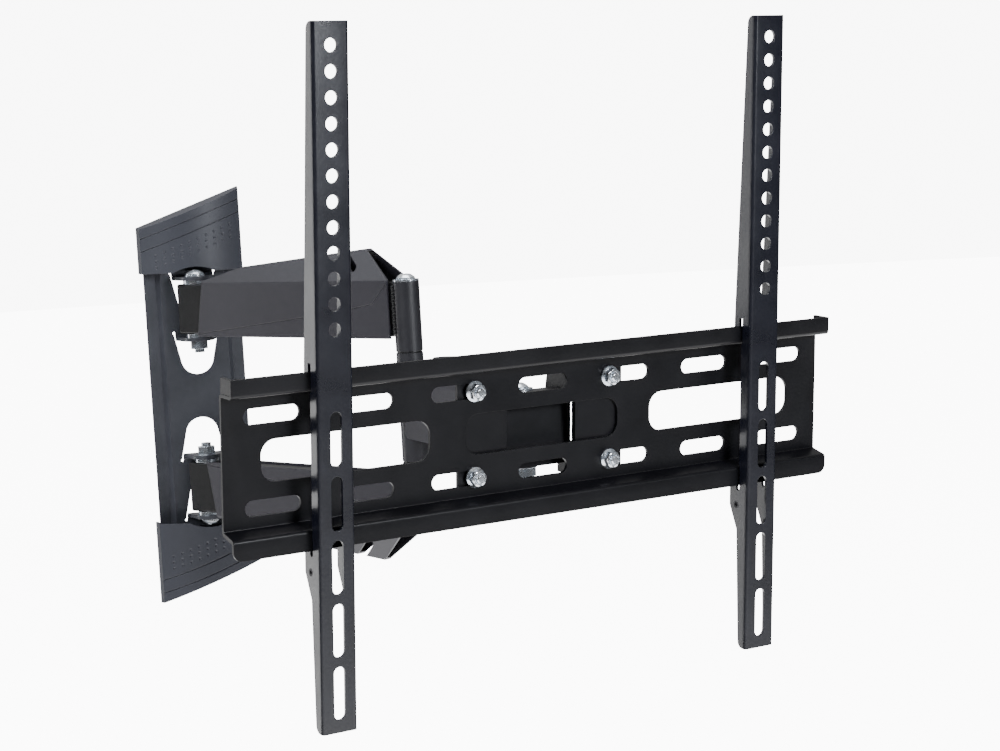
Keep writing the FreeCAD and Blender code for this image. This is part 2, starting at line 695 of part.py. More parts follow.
def elbow_bolt_parts():
    """The long elbow bolt, its nut, washers and the two spacer rings."""
    x = ARM_LENGTH
    seat = UPPER_SLEEVE_END + ELBOW_WASHER_THICKNESS
    nut_seat = -LOWER_SLEEVE_END - ELBOW_WASHER_THICKNESS
    tail = nut_seat - M10_NUT_HEIGHT - ELBOW_THREAD_BEYOND_NUT
    shank = rod(M10_RADIUS, vec(x, 0, tail), vec(x, 0, seat))
    head = domed_head(ELBOW_HEAD_RADIUS, ELBOW_HEAD_HEIGHT, vec(x, 0, seat), UP)
    top = seat + ELBOW_HEAD_HEIGHT
    socket = hexagon(ELBOW_SOCKET, vec(x, 0, top - SOCKET_DEPTH), vec(x, 0, top + 1))
    bolt = fuse([shank, head]).cut(socket)
    nut = hex_nut(M10_HEX, M10_NUT_HEIGHT, M10_RADIUS, vec(x, 0, nut_seat), -UP)
    washers = [
        tube(ELBOW_WASHER_RADIUS, M10_RADIUS, vec(x, 0, UPPER_SLEEVE_END), vec(x, 0, seat)),
        tube(ELBOW_WASHER_RADIUS, M10_RADIUS, vec(x, 0, nut_seat), vec(x, 0, -LOWER_SLEEVE_END)),
    ]
    ring = tube(RING_RADIUS, M10_RADIUS, vec(x, 0, MIDDLE_SLEEVE_HALF + FACE_CLEARANCE),
                vec(x, 0, SLEEVE_START))
    return bolt, nut, washers, [ring, mirror_down(ring)]


# ---- forearm -------------------------------------------------------------------------------
def fore_sleeve(s, half_height, bore):
    return tube(SLEEVE_RADIUS, bore, vec(s, 0, -half_height), vec(s, 0, half_height))


def forearm_beam():
    """A steel tube between the two sleeves, narrowed before the swivel."""
    def section(s, half_width, half_height):
        corners = [
            vec(s, -half_width, -half_height),
            vec(s, half_width, -half_height),
            vec(s, half_width, half_height),
            vec(s, -half_width, half_height),
        ]
        return Part.makePolygon(corners + [corners[0]])

    height = FORE_BEAM_HALF_HEIGHT
    stations = [
        (0.0, FORE_BEAM_HALF_WIDTH),
        (FORE_TAPER_START, FORE_BEAM_HALF_WIDTH),
        (FORE_TAPER_END, FORE_NECK_HALF_WIDTH),
        (FOREARM_LENGTH, FORE_NECK_HALF_WIDTH),
    ]
    outer = Part.makeLoft([section(s, half, height) for s, half in stations], True, True)
    inner = Part.makeLoft([section(s, half - BEAM_WALL, height - BEAM_WALL)
                           for s, half in stations], True, True)
    sleeves = [rod(SLEEVE_RADIUS, vec(s, 0, -FAR), vec(s, 0, FAR)) for s in (0.0, FOREARM_LENGTH)]
    ends = [box(-FAR, 0, -FAR, FAR, -FAR, FAR), box(FOREARM_LENGTH, FAR, -FAR, FAR, -FAR, FAR)]
    return outer.cut([inner] + sleeves + ends)


def forearm_shell():
    """The shell over the forearm's beam, with a rounded lower rear corner."""
    outline = [
        (FORE_SHELL_REAR_LOW, FORE_SHELL_BOTTOM),
        (FORE_SHELL_FRONT, FORE_SHELL_BOTTOM),
        (FORE_SHELL_FRONT, FORE_SHELL_CREASE),
        FORE_SHELL_PEAK,
        FORE_SHELL_RISE,
        (FORE_SHELL_REAR_HIGH, FORE_SHELL_REAR_TOP),
    ]
    shell = ridged_shell(outline, FORE_SHELL_BOTTOM, FORE_SHELL_CREASE, FORE_SHELL_PEAK[1])
    r = FORE_SHELL_CORNER
    s = FORE_SHELL_REAR_LOW - 1
    z = FORE_SHELL_BOTTOM
    square = box(s, s + r + 1, -FAR, FAR, z - 1, z + r)
    round_edge = rod(r, vec(s + r + 1, -FAR, z + r), vec(s + r + 1, FAR, z + r))
    return shell.cut(square.cut(round_edge))


def forearm_welds():
    """Weld beads between the forearm's beam and its two sleeves."""
    beam = forearm_beam()
    reach = FORE_BEAM_HALF_HEIGHT - WELD_SETBACK
    beads = []
    for s, half_width in ((0.0, FORE_BEAM_HALF_WIDTH), (FOREARM_LENGTH, FORE_NECK_HALF_WIDTH)):
        contact = math.sqrt(SLEEVE_RADIUS ** 2 - half_width ** 2)
        towards = 1 if s == 0.0 else -1
        sleeve = rod(SLEEVE_RADIUS, vec(s, 0, -FAR), vec(s, 0, FAR))
        x = s + towards * (contact + WELD_RADIUS / 2)
        for side in (-1, 1):
            bead = weld_bead(x, side * (half_width - WELD_INSET), -reach, reach, [beam, sleeve])
            beads.append(max(bead.Solids, key=lambda solid: solid.Volume))
    return beads


# ---- swivel yoke and tilt bracket ----------------------------------------------------------
def swivel_yoke():
    """A box-shaped yoke: ears above and below the swivel sleeve, cheeks for the tilt bolts."""
    ear_low = FORE_SLEEVE_HALF + FACE_CLEARANCE
    ear_high = ear_low + YOKE_SHEET
    half = YOKE_HALF_WIDTH
    front = YOKE_FRONT_Y
    wall = box(-half, half, front, front + YOKE_SHEET, -ear_high, ear_high)
    ear = fuse([
        box(-half, half, front, 0, ear_low, ear_high),
        rod(YOKE_EAR_RADIUS, vec(0, 0, ear_low), vec(0, 0, ear_high)),
    ])
    cheek = fuse([
        box(half - YOKE_SHEET, half, front, 0, -ear_high, ear_high),
        rod(YOKE_CHEEK_RADIUS, vec(half - YOKE_SHEET, 0, 0), vec(half, 0, 0)),
    ])
    body = fuse([wall, ear, mirror_down(ear), cheek, cheek.mirror(vec(0, 0, 0), RIGHT)])
    swivel_hole = rod(M10_RADIUS + FIXED_CLEARANCE, vec(0, 0, -FAR), vec(0, 0, FAR))
    tilt_hole = rod(M8_RADIUS + FIXED_CLEARANCE, vec(-FAR, 0, 0), vec(FAR, 0, 0))
    return body.cut([swivel_hole, tilt_hole])


def swivel_bolt_parts():
    """The swivel bolt, its nut and its two washers."""
    ear_high = FORE_SLEEVE_HALF + FACE_CLEARANCE + YOKE_SHEET
    seat = ear_high + ELBOW_WASHER_THICKNESS
    tail = -seat - SWIVEL_NUT_HEIGHT - SWIVEL_THREAD_BEYOND_NUT
    shank = rod(M10_RADIUS, vec(0, 0, tail), vec(0, 0, seat))
    head = domed_head(SWIVEL_HEAD_RADIUS, SWIVEL_HEAD_HEIGHT, vec(0, 0, seat), UP)
    top = seat + SWIVEL_HEAD_HEIGHT
    socket = hexagon(ELBOW_SOCKET, vec(0, 0, top - SOCKET_DEPTH), vec(0, 0, top + 1))
    bolt = fuse([shank, head]).cut(socket)
    nut = hex_nut(M10_HEX, SWIVEL_NUT_HEIGHT, M10_RADIUS, vec(0, 0, -seat), -UP)
    washer = tube(ELBOW_WASHER_RADIUS, M10_RADIUS, vec(0, 0, ear_high), vec(0, 0, seat))
    return bolt, nut, [washer, mirror_down(washer)]


def tilt_bracket():
    """A pressed plate behind the VESA plate, with two ears bent back to the tilt bolts."""
    front = PLATE_SHEET - PLATE_AHEAD_OF_TILT
    back = front + BRACKET_SHEET
    centre_z = PLATE_ABOVE_TILT
    flat = box(-BRACKET_HALF_WIDTH, BRACKET_HALF_WIDTH, front, back,
               centre_z - BRACKET_HALF_HEIGHT, centre_z + BRACKET_HALF_HEIGHT)
    inner = BRACKET_EAR_INNER
    opening = box(-inner, inner, front - 1, back + 1,
                  centre_z - BRACKET_OPENING_HALF_HEIGHT, centre_z + BRACKET_OPENING_HALF_HEIGHT)
    holes = [
        rod(M6_RADIUS + FIXED_CLEARANCE, vec(x, front - 1, centre_z + z), vec(x, back + 1, centre_z + z))
        for x in (-NUT_X, NUT_X) for z in (-NUT_Z, NUT_Z)
    ]
    flat = flat.cut([opening] + holes)
    points = [vec(inner, front, BRACKET_EAR_BOTTOM)]
    points += [vec(inner, y, z) for y, z in BRACKET_EAR_OUTLINE]
    points += [vec(inner, front, BRACKET_EAR_TOP)]
    ear = prism(points, vec(BRACKET_SHEET, 0, 0))
    (near, far), (low, high) = BRACKET_EAR_WINDOW
    window = box(inner - 1, inner + BRACKET_SHEET + 1, front + near, front + far, low, high)
    ear = ear.cut(window)
    hole = rod(M8_RADIUS + RUNNING_CLEARANCE, vec(-FAR, 0, 0), vec(FAR, 0, 0))
    return fuse([flat, ear, ear.mirror(vec(0, 0, 0), RIGHT)]).cut(hole)


def tilt_bolt_parts():
    """Bolt, nut and washer of the right-hand tilt pivot, on the yoke's cheek."""
    inside = YOKE_HALF_WIDTH - YOKE_SHEET
    outside = BRACKET_EAR_INNER + BRACKET_SHEET + FACE_CLEARANCE
    seat = outside + TILT_WASHER_THICKNESS
    shank = rod(M8_RADIUS, vec(inside - TILT_NUT_HEIGHT - 1, 0, 0), vec(seat, 0, 0))
    head = domed_head(TILT_HEAD_RADIUS, TILT_HEAD_HEIGHT, vec(seat, 0, 0), RIGHT)
    top = seat + TILT_HEAD_HEIGHT
    socket = hexagon(ELBOW_SOCKET - 1, vec(top - SOCKET_DEPTH, 0, 0), vec(top + 1, 0, 0))
    bolt = fuse([shank, head]).cut(socket)
    nut = hex_nut(M8_HEX, TILT_NUT_HEIGHT, M8_RADIUS, vec(inside, 0, 0), -RIGHT)
    washer = tube(TILT_WASHER_RADIUS, M8_RADIUS, vec(outside, 0, 0), vec(seat, 0, 0))
    return bolt, nut, washer


# ---- VESA plate ----------------------------------------------------------------------------
def make_vesa_plate():
    """A pressed plate: slotted web, hooked lip above, turned-down lip below, end stops."""
    t = PLATE_SHEET
    x = -PLATE_HALF_WIDTH
    forward = -LIP_FORWARD
    lower = -LOWER_LIP_FORWARD
    profile = [
        (t, PLATE_BOTTOM),
        (t, PLATE_TOP_SHELF + t),
        (forward + t, PLATE_TOP_SHELF + t),
        (forward + t, PLATE_TOP_LIP),
        (forward, PLATE_TOP_LIP),
        (forward, PLATE_TOP_SHELF),
        (0, PLATE_TOP_SHELF),
        (0, PLATE_BOTTOM + t),
        (lower, PLATE_BOTTOM_SHELF + t),
        (lower, PLATE_BOTTOM_LIP),
        (lower + t, PLATE_BOTTOM_LIP),
        (lower + t, PLATE_BOTTOM_SHELF),
    ]
    plate = prism([vec(x, y, z) for y, z in profile], vec(2 * PLATE_HALF_WIDTH, 0, 0))
    plate = plate.makeFillet(PLATE_BEND_RADIUS, outer_bends(plate))
    tools = [rounded_window(centre) for centre in WINDOW_CENTRES]
    for row_z in PLATE_SLOT_ROWS:
        for column in range(-3, 4):
            tools.append(slot_y(column * PLATE_SLOT_PITCH, row_z, PLATE_SLOT_LENGTH, PLATE_SLOT_RADIUS,
                                -5, 5, "x"))
    tools += lip_corner_cuts()
    plate = plate.cut(tools)
    stops = [end_stop(side) for side in (-1, 1)]
    return fuse([plate] + stops)


def outer_bends(plate):
    """The two long edges on the outside of the upper and lower front bends."""
    picked = []
    for edge in plate.Edges:
        b = edge.BoundBox
        if b.XLength < PLATE_HALF_WIDTH:
            continue
        upper = near(b.YMin, -LIP_FORWARD) and near(b.ZMin, PLATE_TOP_SHELF)
        lower = near(b.YMin, -LOWER_LIP_FORWARD) and near(b.ZMin, PLATE_BOTTOM_SHELF + PLATE_SHEET)
        back = near(b.YMin, PLATE_SHEET) and b.ZMin > PLATE_TOP_SHELF
        if upper or lower or back:
            picked.append(edge)
    return picked


def rounded_window(centre_x):
    half = WINDOW_HALF_WIDTH
    window = box(centre_x - half, centre_x + half, -5, 5, -WINDOW_HALF_HEIGHT, WINDOW_HALF_HEIGHT)
    corners = [e for e in window.Edges if abs(e.tangentAt(e.FirstParameter).y) > PARALLEL]
    return window.makeFillet(WINDOW_CORNER, corners)


def lip_corner_cuts():
    """Rounds the lower corners of the turned-down lip."""
    r = LIP_CORNER
    cuts = []
    for side in (-1, 1):
        edge_x = side * PLATE_HALF_WIDTH
        inner_x = edge_x - side * r
        z = PLATE_BOTTOM_LIP
        square = box(min(edge_x, inner_x), max(edge_x, inner_x), -FAR, -5, z, z + r)
        cuts.append(square.cut(rod(r, vec(inner_x, -FAR, z + r), vec(inner_x, 0, z + r))))
    return cuts


def end_stop(side):
    """The tab at each end of the upper lip, bent back towards the web."""
    outer = side * PLATE_HALF_WIDTH
    inner = outer - side * PLATE_SHEET
    low = PLATE_TOP_SHELF + PLATE_SHEET
    return box(min(outer, inner), max(outer, inner), -LIP_FORWARD + PLATE_SHEET, OVERLAP,
               low + STOP_GAP, PLATE_TOP_LIP)


def plate_fasteners():
    """Four carriage studs from behind the bracket and their flange nuts, in the plate's frame."""
    studs = []
    nuts = []
    back = PLATE_SHEET + BRACKET_SHEET
    for x in (-NUT_X, NUT_X):
        for z in (-NUT_Z, NUT_Z):
            tip = -FLANGE_NUT_HEIGHT - STUD_BEYOND_NUT
            shank = rod(M6_RADIUS, vec(x, tip, z), vec(x, back, z))
            head = domed_head(STUD_HEAD_RADIUS, STUD_HEAD_HEIGHT, vec(x, back, z), BACK)
            studs.append(fuse([shank, head]))
            nuts.append(flange_nut(x, z))
    return studs, nuts


def flange_nut(x, z):
    """A hexagonal nut with a wide flange, against the front of the web."""
    collar = Part.makeCone(FLANGE_NUT_RADIUS, FLANGE_NUT_NECK_RADIUS, FLANGE_NUT_FLANGE)
    hexes = hex_nut(M6_HEX, FLANGE_NUT_HEIGHT, M6_RADIUS, vec(0, 0, 0), UP)
    bore = rod(M6_RADIUS, vec(0, 0, -1), vec(0, 0, FLANGE_NUT_HEIGHT + 1))
    nut = fuse([collar, hexes]).cut(bore)
    nut.Placement = FreeCAD.Placement(vec(x, 0, z), FreeCAD.Rotation(UP, -BACK))
    return nut


# ---- VESA bars -----------------------------------------------------------------------------
def bar_side_outline():
    """Side outline of a bar in y and z: shallow at the top, deep at the hook and foot."""
    front = -BAR_FRONT
    return [
        (front, BAR_BOTTOM),
        (front, BAR_TOP),
        (front + BAR_TOP_DEPTH, BAR_TOP),
        (front + BAR_HOOK_DEPTH, HOOK_TOP),
        (front + BAR_HOOK_DEPTH, HOOK_BOTTOM),
        (front + BAR_BETWEEN_DEPTH, HOOK_BOTTOM),
        (front + BAR_BETWEEN_DEPTH, FOOT_TOP),
        (front + BAR_FOOT_DEPTH, FOOT_TOP),
        (front + BAR_FOOT_DEPTH, BAR_STEP_Z[0]),
        (front + BAR_STEP_DEPTH, BAR_STEP_Z[1]),
        (front + BAR_END_DEPTH, BAR_BOTTOM),
    ]


def make_bar(x):
    """A channel with its web to the front: round holes above, slots below, hooks behind."""
    half = BAR_HALF_WIDTH
    front = -BAR_FRONT
    body = prism([vec(-half, y, z) for y, z in bar_side_outline()], vec(2 * half, 0, 0))
    body = body.makeFillet(BAR_CORNER, bar_round_edges(body))
    front_edges = [e for e in body.Edges
                   if near(e.BoundBox.YMax, front) and e.BoundBox.ZLength > FAR / 2]
    body = body.makeFillet(BAR_EDGE_RADIUS, front_edges)
    channel = box(-half + BAR_SHEET, half - BAR_SHEET, front + BAR_SHEET, FAR, -FAR, FAR)
    tools = [channel] + hook_cuts()
    for i in range(HOLE_COUNT):
        z = FIRST_HOLE_Z - i * HOLE_PITCH
        tools.append(rod(HOLE_RADIUS, vec(0, front - 1, z), vec(0, front + 4, z)))
    for i in range(BAR_SLOT_COUNT):
        z = FIRST_SLOT_Z - i * BAR_SLOT_PITCH
        tools.append(slot_y(0, z, BAR_SLOT_LENGTH, BAR_SLOT_RADIUS, front - 1, front + 4, "z"))
    screw_y = front + LOCK_SCREW_BEHIND_FRONT
    tools.append(rod(LOCK_SCREW_RADIUS, vec(-half - 1, screw_y, LOCK_SCREW_Z), vec(0, screw_y, LOCK_SCREW_Z)))
    bar = body.cut(tools)
    bar.translate(vec(x, 0, 0))
    return bar


def lock_screw(x):
    """A set screw through the bar's left flange; it sits under the plate's lower lip."""
    y = LOCK_SCREW_BEHIND_FRONT - BAR_FRONT
    outside = x - BAR_HALF_WIDTH
    start = vec(outside, y, LOCK_SCREW_Z)
    screw = rod(LOCK_SCREW_RADIUS, start, vec(outside + LOCK_SCREW_LENGTH, y, LOCK_SCREW_Z))
    socket = hexagon(LOCK_SCREW_SOCKET, start - RIGHT, start + RIGHT * LOCK_SCREW_SOCKET_DEPTH)
    return screw.cut(socket)


def bar_round_edges(body):
    """The rear corners at the bar's two ends."""
    picked = []
    for edge in body.Edges:
        b = edge.BoundBox
        if b.XLength < BAR_HALF_WIDTH or b.YLength > TOUCH or b.ZLength > TOUCH:
            continue
        at_top = near(b.ZMin, BAR_TOP) and b.YMin > -BAR_FRONT + 1
        at_bottom = near(b.ZMin, BAR_BOTTOM) and b.YMin > -BAR_FRONT + 1
        at_foot = b.YMin > -BAR_FRONT + BAR_FOOT_DEPTH - TOUCH
        if at_top or at_bottom or at_foot:
            picked.append(edge)
    return picked


def hook_cuts():
    """The gaps in the flanges that take the plate's two lips."""
    upper = box(-FAR, FAR, -LIP_FORWARD - HOOK_PLAY, -LIP_FORWARD + PLATE_SHEET + HOOK_PLAY,
                PLATE_TOP_SHELF - HOOK_PLAY, HOOK_TOP)
    lower_front = -LOWER_LIP_FORWARD - HOOK_PLAY
    lower_back = -LOWER_LIP_FORWARD + PLATE_SHEET + HOOK_PLAY
    radius = (lower_back - lower_front) / 2
    centre_y = (lower_back + lower_front) / 2
    centre_z = LIP_NOTCH_BOTTOM + radius
    lower = box(-FAR, FAR, lower_front, lower_back, centre_z, PLATE_BOTTOM_SHELF + PLATE_SHEET + HOOK_PLAY)
    notch_end = rod(radius, vec(-FAR, centre_y, centre_z), vec(FAR, centre_y, centre_z))
    return [upper, lower, notch_end]


# ---- assembly ------------------------------------------------------------------------------
def wall_nodes():
    bolt, nut, washers = shoulder_parts()
    upper = make_upper_cover()
    half_turn = FreeCAD.Placement(vec(0, 0, 0), FreeCAD.Rotation(BACK, 180))
    return {
        "wall_plate": [make_wall_plate()],
        "upper_wall_cover": [upper],
        "lower_wall_cover": [placed(upper, half_turn)],
        "shoulder_bolts": [bolt, mirror_down(bolt)],
        "shoulder_nuts": [nut, mirror_down(nut)],
        "shoulder_washers": washers + [mirror_down(w) for w in washers],
    }


def arm_nodes():
    beam = arm_beam()
    shell = arm_shell()
    upper_welds = arm_welds(UPPER_SLEEVE_END)
    lower_welds = [mirror_down(bead) for bead in arm_welds(LOWER_SLEEVE_END)]
    bolt, nut, washers, rings = elbow_bolt_parts()
    return {
        "upper_arm_beam": [beam],
        "lower_arm_beam": [mirror_down(beam)],
        "upper_arm_shell": [shell],
        "lower_arm_shell": [mirror_down(shell)],
        "upper_elbow_sleeve": [elbow_sleeve(UPPER_SLEEVE_END)],
        "lower_elbow_sleeve": [mirror_down(elbow_sleeve(LOWER_SLEEVE_END))],
        "arm_weld_beads": upper_welds + lower_welds,
        "elbow_bolt": [bolt],
        "elbow_nut": [nut],
        "elbow_washers": washers,
        "elbow_spacer_rings": rings,
    }


def forearm_nodes():
    bore = M10_RADIUS + RUNNING_CLEARANCE
    return {
        "forearm_beam": [forearm_beam()],
        "forearm_shell": [forearm_shell()],
        "forearm_elbow_sleeve": [fore_sleeve(0.0, MIDDLE_SLEEVE_HALF, bore)],
        "forearm_swivel_sleeve": [fore_sleeve(FOREARM_LENGTH, FORE_SLEEVE_HALF, bore)],
        "forearm_weld_beads": forearm_welds(),
    }


def yoke_nodes():
    bolt, nut, washers = swivel_bolt_parts()
    tilt_bolt, tilt_nut, tilt_washer = tilt_bolt_parts()
    return {
        "swivel_yoke": [swivel_yoke()],
        "swivel_bolt": [bolt],
        "swivel_nut": [nut],
        "swivel_washers": washers,
        "tilt_bolts": [tilt_bolt, tilt_bolt.mirror(vec(0, 0, 0), RIGHT)],
        "tilt_nuts": [tilt_nut, tilt_nut.mirror(vec(0, 0, 0), RIGHT)],
        "tilt_washers": [tilt_washer, tilt_washer.mirror(vec(0, 0, 0), RIGHT)],
    }


def plate_nodes():
    studs, nuts = plate_fasteners()
    return {
        "vesa_plate": [make_vesa_plate()],
        "plate_studs": studs,
        "plate_nuts": nuts,
        "vesa_bar_left": [make_bar(-BAR_X)],
        "vesa_bar_right": [make_bar(BAR_X)],
        "bar_lock_screw_left": [lock_screw(-BAR_X)],
        "bar_lock_screw_right": [lock_screw(BAR_X)],
    }


def export(nodes, frame):
    for name, solids in nodes.items():
        shapes = [placed(solid, frame) for solid in solids]
        shape = shapes[0] if len(shapes) == 1 else Part.makeCompound(shapes)
        shape.exportStep(os.path.join("parts", name + ".step"))
        print(name, len(shape.Solids), shape.isValid(), round(shape.Volume, 1))


def main():
    os.makedirs("parts", exist_ok=True)
    export(wall_nodes(), FreeCAD.Placement())
    export(arm_nodes(), arm_frame())
    export(forearm_nodes(), forearm_frame())
    export(yoke_nodes(), head_frame())
    export({"tilt_bracket": [tilt_bracket()]}, tilt_frame())
    export(plate_nodes(), plate_frame())
    for name, frame in (("shoulder", arm_frame()), ("elbow", forearm_frame()),
                        ("swivel", head_frame()), ("plate", plate_frame())):
        print(name, [round(v, 4) for v in frame.Base])
    print("plate right", [round(v, 6) for v in plate_frame().Rotation.multVec(RIGHT)])


main()
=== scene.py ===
import json
import math

import bmesh
import bpy
from mathutils import Matrix, Vector


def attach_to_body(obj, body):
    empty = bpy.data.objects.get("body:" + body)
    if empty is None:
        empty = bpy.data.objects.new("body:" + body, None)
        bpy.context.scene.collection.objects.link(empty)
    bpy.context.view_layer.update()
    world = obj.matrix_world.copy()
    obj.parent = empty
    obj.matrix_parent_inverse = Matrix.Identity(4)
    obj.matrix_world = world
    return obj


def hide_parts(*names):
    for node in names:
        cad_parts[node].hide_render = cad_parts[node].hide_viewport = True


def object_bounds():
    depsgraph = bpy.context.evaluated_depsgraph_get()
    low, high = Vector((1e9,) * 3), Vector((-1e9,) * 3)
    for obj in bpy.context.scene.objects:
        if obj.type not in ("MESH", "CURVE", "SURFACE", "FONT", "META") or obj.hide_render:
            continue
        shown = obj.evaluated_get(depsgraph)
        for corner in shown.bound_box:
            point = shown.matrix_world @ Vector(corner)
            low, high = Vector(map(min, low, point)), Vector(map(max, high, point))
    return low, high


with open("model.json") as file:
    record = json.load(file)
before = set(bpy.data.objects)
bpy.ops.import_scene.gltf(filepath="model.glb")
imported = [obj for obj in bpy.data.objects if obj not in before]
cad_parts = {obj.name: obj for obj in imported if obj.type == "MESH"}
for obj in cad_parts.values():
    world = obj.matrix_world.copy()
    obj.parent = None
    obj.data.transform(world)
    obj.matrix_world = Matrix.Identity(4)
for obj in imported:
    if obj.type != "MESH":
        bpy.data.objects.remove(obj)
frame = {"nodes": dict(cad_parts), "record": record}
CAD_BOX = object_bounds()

MM = 0.001
NODES = frame["nodes"]
LOW, HIGH = CAD_BOX

# Camera: the viewing angle of the product picture, in the part's frame.
CAMERA_PLACE = Vector((-0.2114, -1.9079, 0.1698))
CAMERA_FORWARD = Vector((0.2388, 0.9671, -0.0879)).normalized()
CAMERA_ROLL = math.radians(3.207)
LENS_MM = 82.3
SENSOR_MM = 36.0

# Stage
FLOOR_DROP = 0.16
FLOOR_RADIUS = 9.0
BACKDROP_GLOW = 11.0
FLOOR_GLOW = 10.0
WHITE = (1.0, 1.0, 1.0)
COOL = (0.93, 0.96, 1.0)
# Area lights: name, place, width and height in metres, watts and colour
LIGHTS = (
    ("key", (-2.1, -1.8, 1.4), (1.0, 1.0), 38, COOL),
    ("front_right", (1.35, -2.15, 0.50), (0.5, 0.5), 32, COOL),
    ("back_left", (-1.47, 0.86, -0.10), (0.35, 1.4), 6, WHITE),
    ("left_high", (-1.35, 0.19, 1.10), (0.8, 0.8), 10, COOL),
    ("top", (0.2, -0.2, 1.9), (1.2, 1.2), 22, WHITE),
)
# How bright the studio is towards the back, the floor and the ceiling:
# axis of the direction, where the change starts and ends, and the strength at both
SURROUND = (
    ("Y", 0.40, 0.90, 0.03, 0.5),
    ("Z", -0.28, -0.50, 0.0, 3.8),
    ("Z", 0.30, 1.0, 0.0, 0.8),
)

# TV plate and bars in the plate's own frame, in millimetres: x to the right, y back, z up.
# The plate is a sheet with a hooked upper lip, a turned-down lower lip and a stop at each end.
SHEET = 2.2
PLATE_HALF = 234.0
UPPER_SHELF = 42.5
UPPER_LIP_END = 54.7
UPPER_LIP_Y = -13.7
LOWER_BEND = -43.3
LOWER_SHELF = -46.2
LOWER_LIP_END = -57.0
LOWER_LIP_Y = -13.0
OUTER_BEND = 2.6
INNER_BEND = 0.7
LIP_CORNER = 6.0
STOP_BACK = 0.2
STOP_FOOT_GAP = 0.3
STOP_OVERLAP = 0.1
SLOT_ROWS = (28.5, -28.5)
SLOT_COLUMNS = range(-3, 4)
SLOT_PITCH = 66.7
SLOT_LENGTH = 38.6
SLOT_RADIUS = 5.1
WINDOW_MIDDLES = (-147.5, 0.0, 147.5)
WINDOW_HALF = (60.4, 13.4)
WINDOW_CORNER = 10.0

# Bars: a U section that opens to the back, trimmed to its side view
BAR_X = 168.0
BAR_Y = -23.0
BAR_SHEET = 2.0
BAR_HALF = 12.4
BAR_BEND = 2.0
BAR_OUTLINE = (
    # y, z and corner radius of the bar's side view
    (-23.0, -173.0, 0.0), (-23.0, 265.6, 0.0), (-14.8, 265.6, 5.5), (-5.7, 58.6, 0.8), (-5.7, 46.4, 0.8),
    (-13.0, 46.4, 0.8), (-13.0, -49.0, 0.8), (-3.2, -49.0, 3.5), (-3.2, -72.0, 3.5), (-11.0, -88.5, 3.5),
    (-14.4, -173.0, 5.0),
)
HOLE_TOP = 251.3
HOLE_PITCH = 15.5
HOLE_COUNT = 12
HOLE_RADIUS = 4.3
BAR_SLOT_TOP = 13.2
BAR_SLOT_PITCH = 40.2
BAR_SLOT_COUNT = 5
BAR_SLOT_LENGTH = 34.3
BAR_SLOT_RADIUS = 4.0
# gaps in the flanges that the plate's lips go into: front, back, low and high
UPPER_GAP = (-14.2, -11.0, 42.0, 60.0)
LOWER_GAP = (-13.5, -10.3, -60.9, -43.5)
SCREW_PLACE = (-10.5, -71.0)
SCREW_RADIUS = 2.5

# How finely sheets and fasteners are made, and how far cuts reach beyond them
EDGE_BEVEL = 0.35
BEVEL_ANGLE = math.radians(38)
SHEET_CREASE = math.radians(30)
FASTENER_CREASE = math.radians(35)
ARC_STEPS = 20
CORNER_STEPS = 7
LIP_STEPS = 8
WINDOW_STEPS = 12
AROUND = 72
BEYOND = 20.0
TINY = 1e-4

# Fasteners that hold the TV plate, in millimetres
STUD_RADIUS = 3.0
STUD_PITCH = 1.0
STUD_GRIP = 4.6
STUD_HEAD_RADIUS = 7.0
STUD_HEAD_HEIGHT = 3.2
STUD_TIP_CHAMFER = 0.8
STUD_TIP_HEIGHT = 0.5
DOME_STEPS = 8
DOME_TIP = 0.05
THREAD_DEPTH = 0.32
THREAD_STEPS = 8
THREAD_RUNOUT = 0.6
NUT_FLATS = 10.0
NUT_HEIGHT = 6.0
NUT_FLANGE_RADIUS = 6.9
NUT_FLANGE_RIM = 1.1
NUT_PLAY = 0.02
NUT_COUNTERSINK = 0.55
SERRATIONS = 24
SERRATION_DEPTH = 0.12
STEP = 0.01
NUT_TURNS = (5.5, 2.1, 3.8, 0.4)


# ---- node helpers --------------------------------------------------------------------------
def set_range(node, low, high, to_low, to_high):
    """Sets the numbers of a Map Range node."""
    for key, number in (("From Min", low), ("From Max", high), ("To Min", to_low), ("To Max", to_high)):
        node.inputs[key].default_value = number


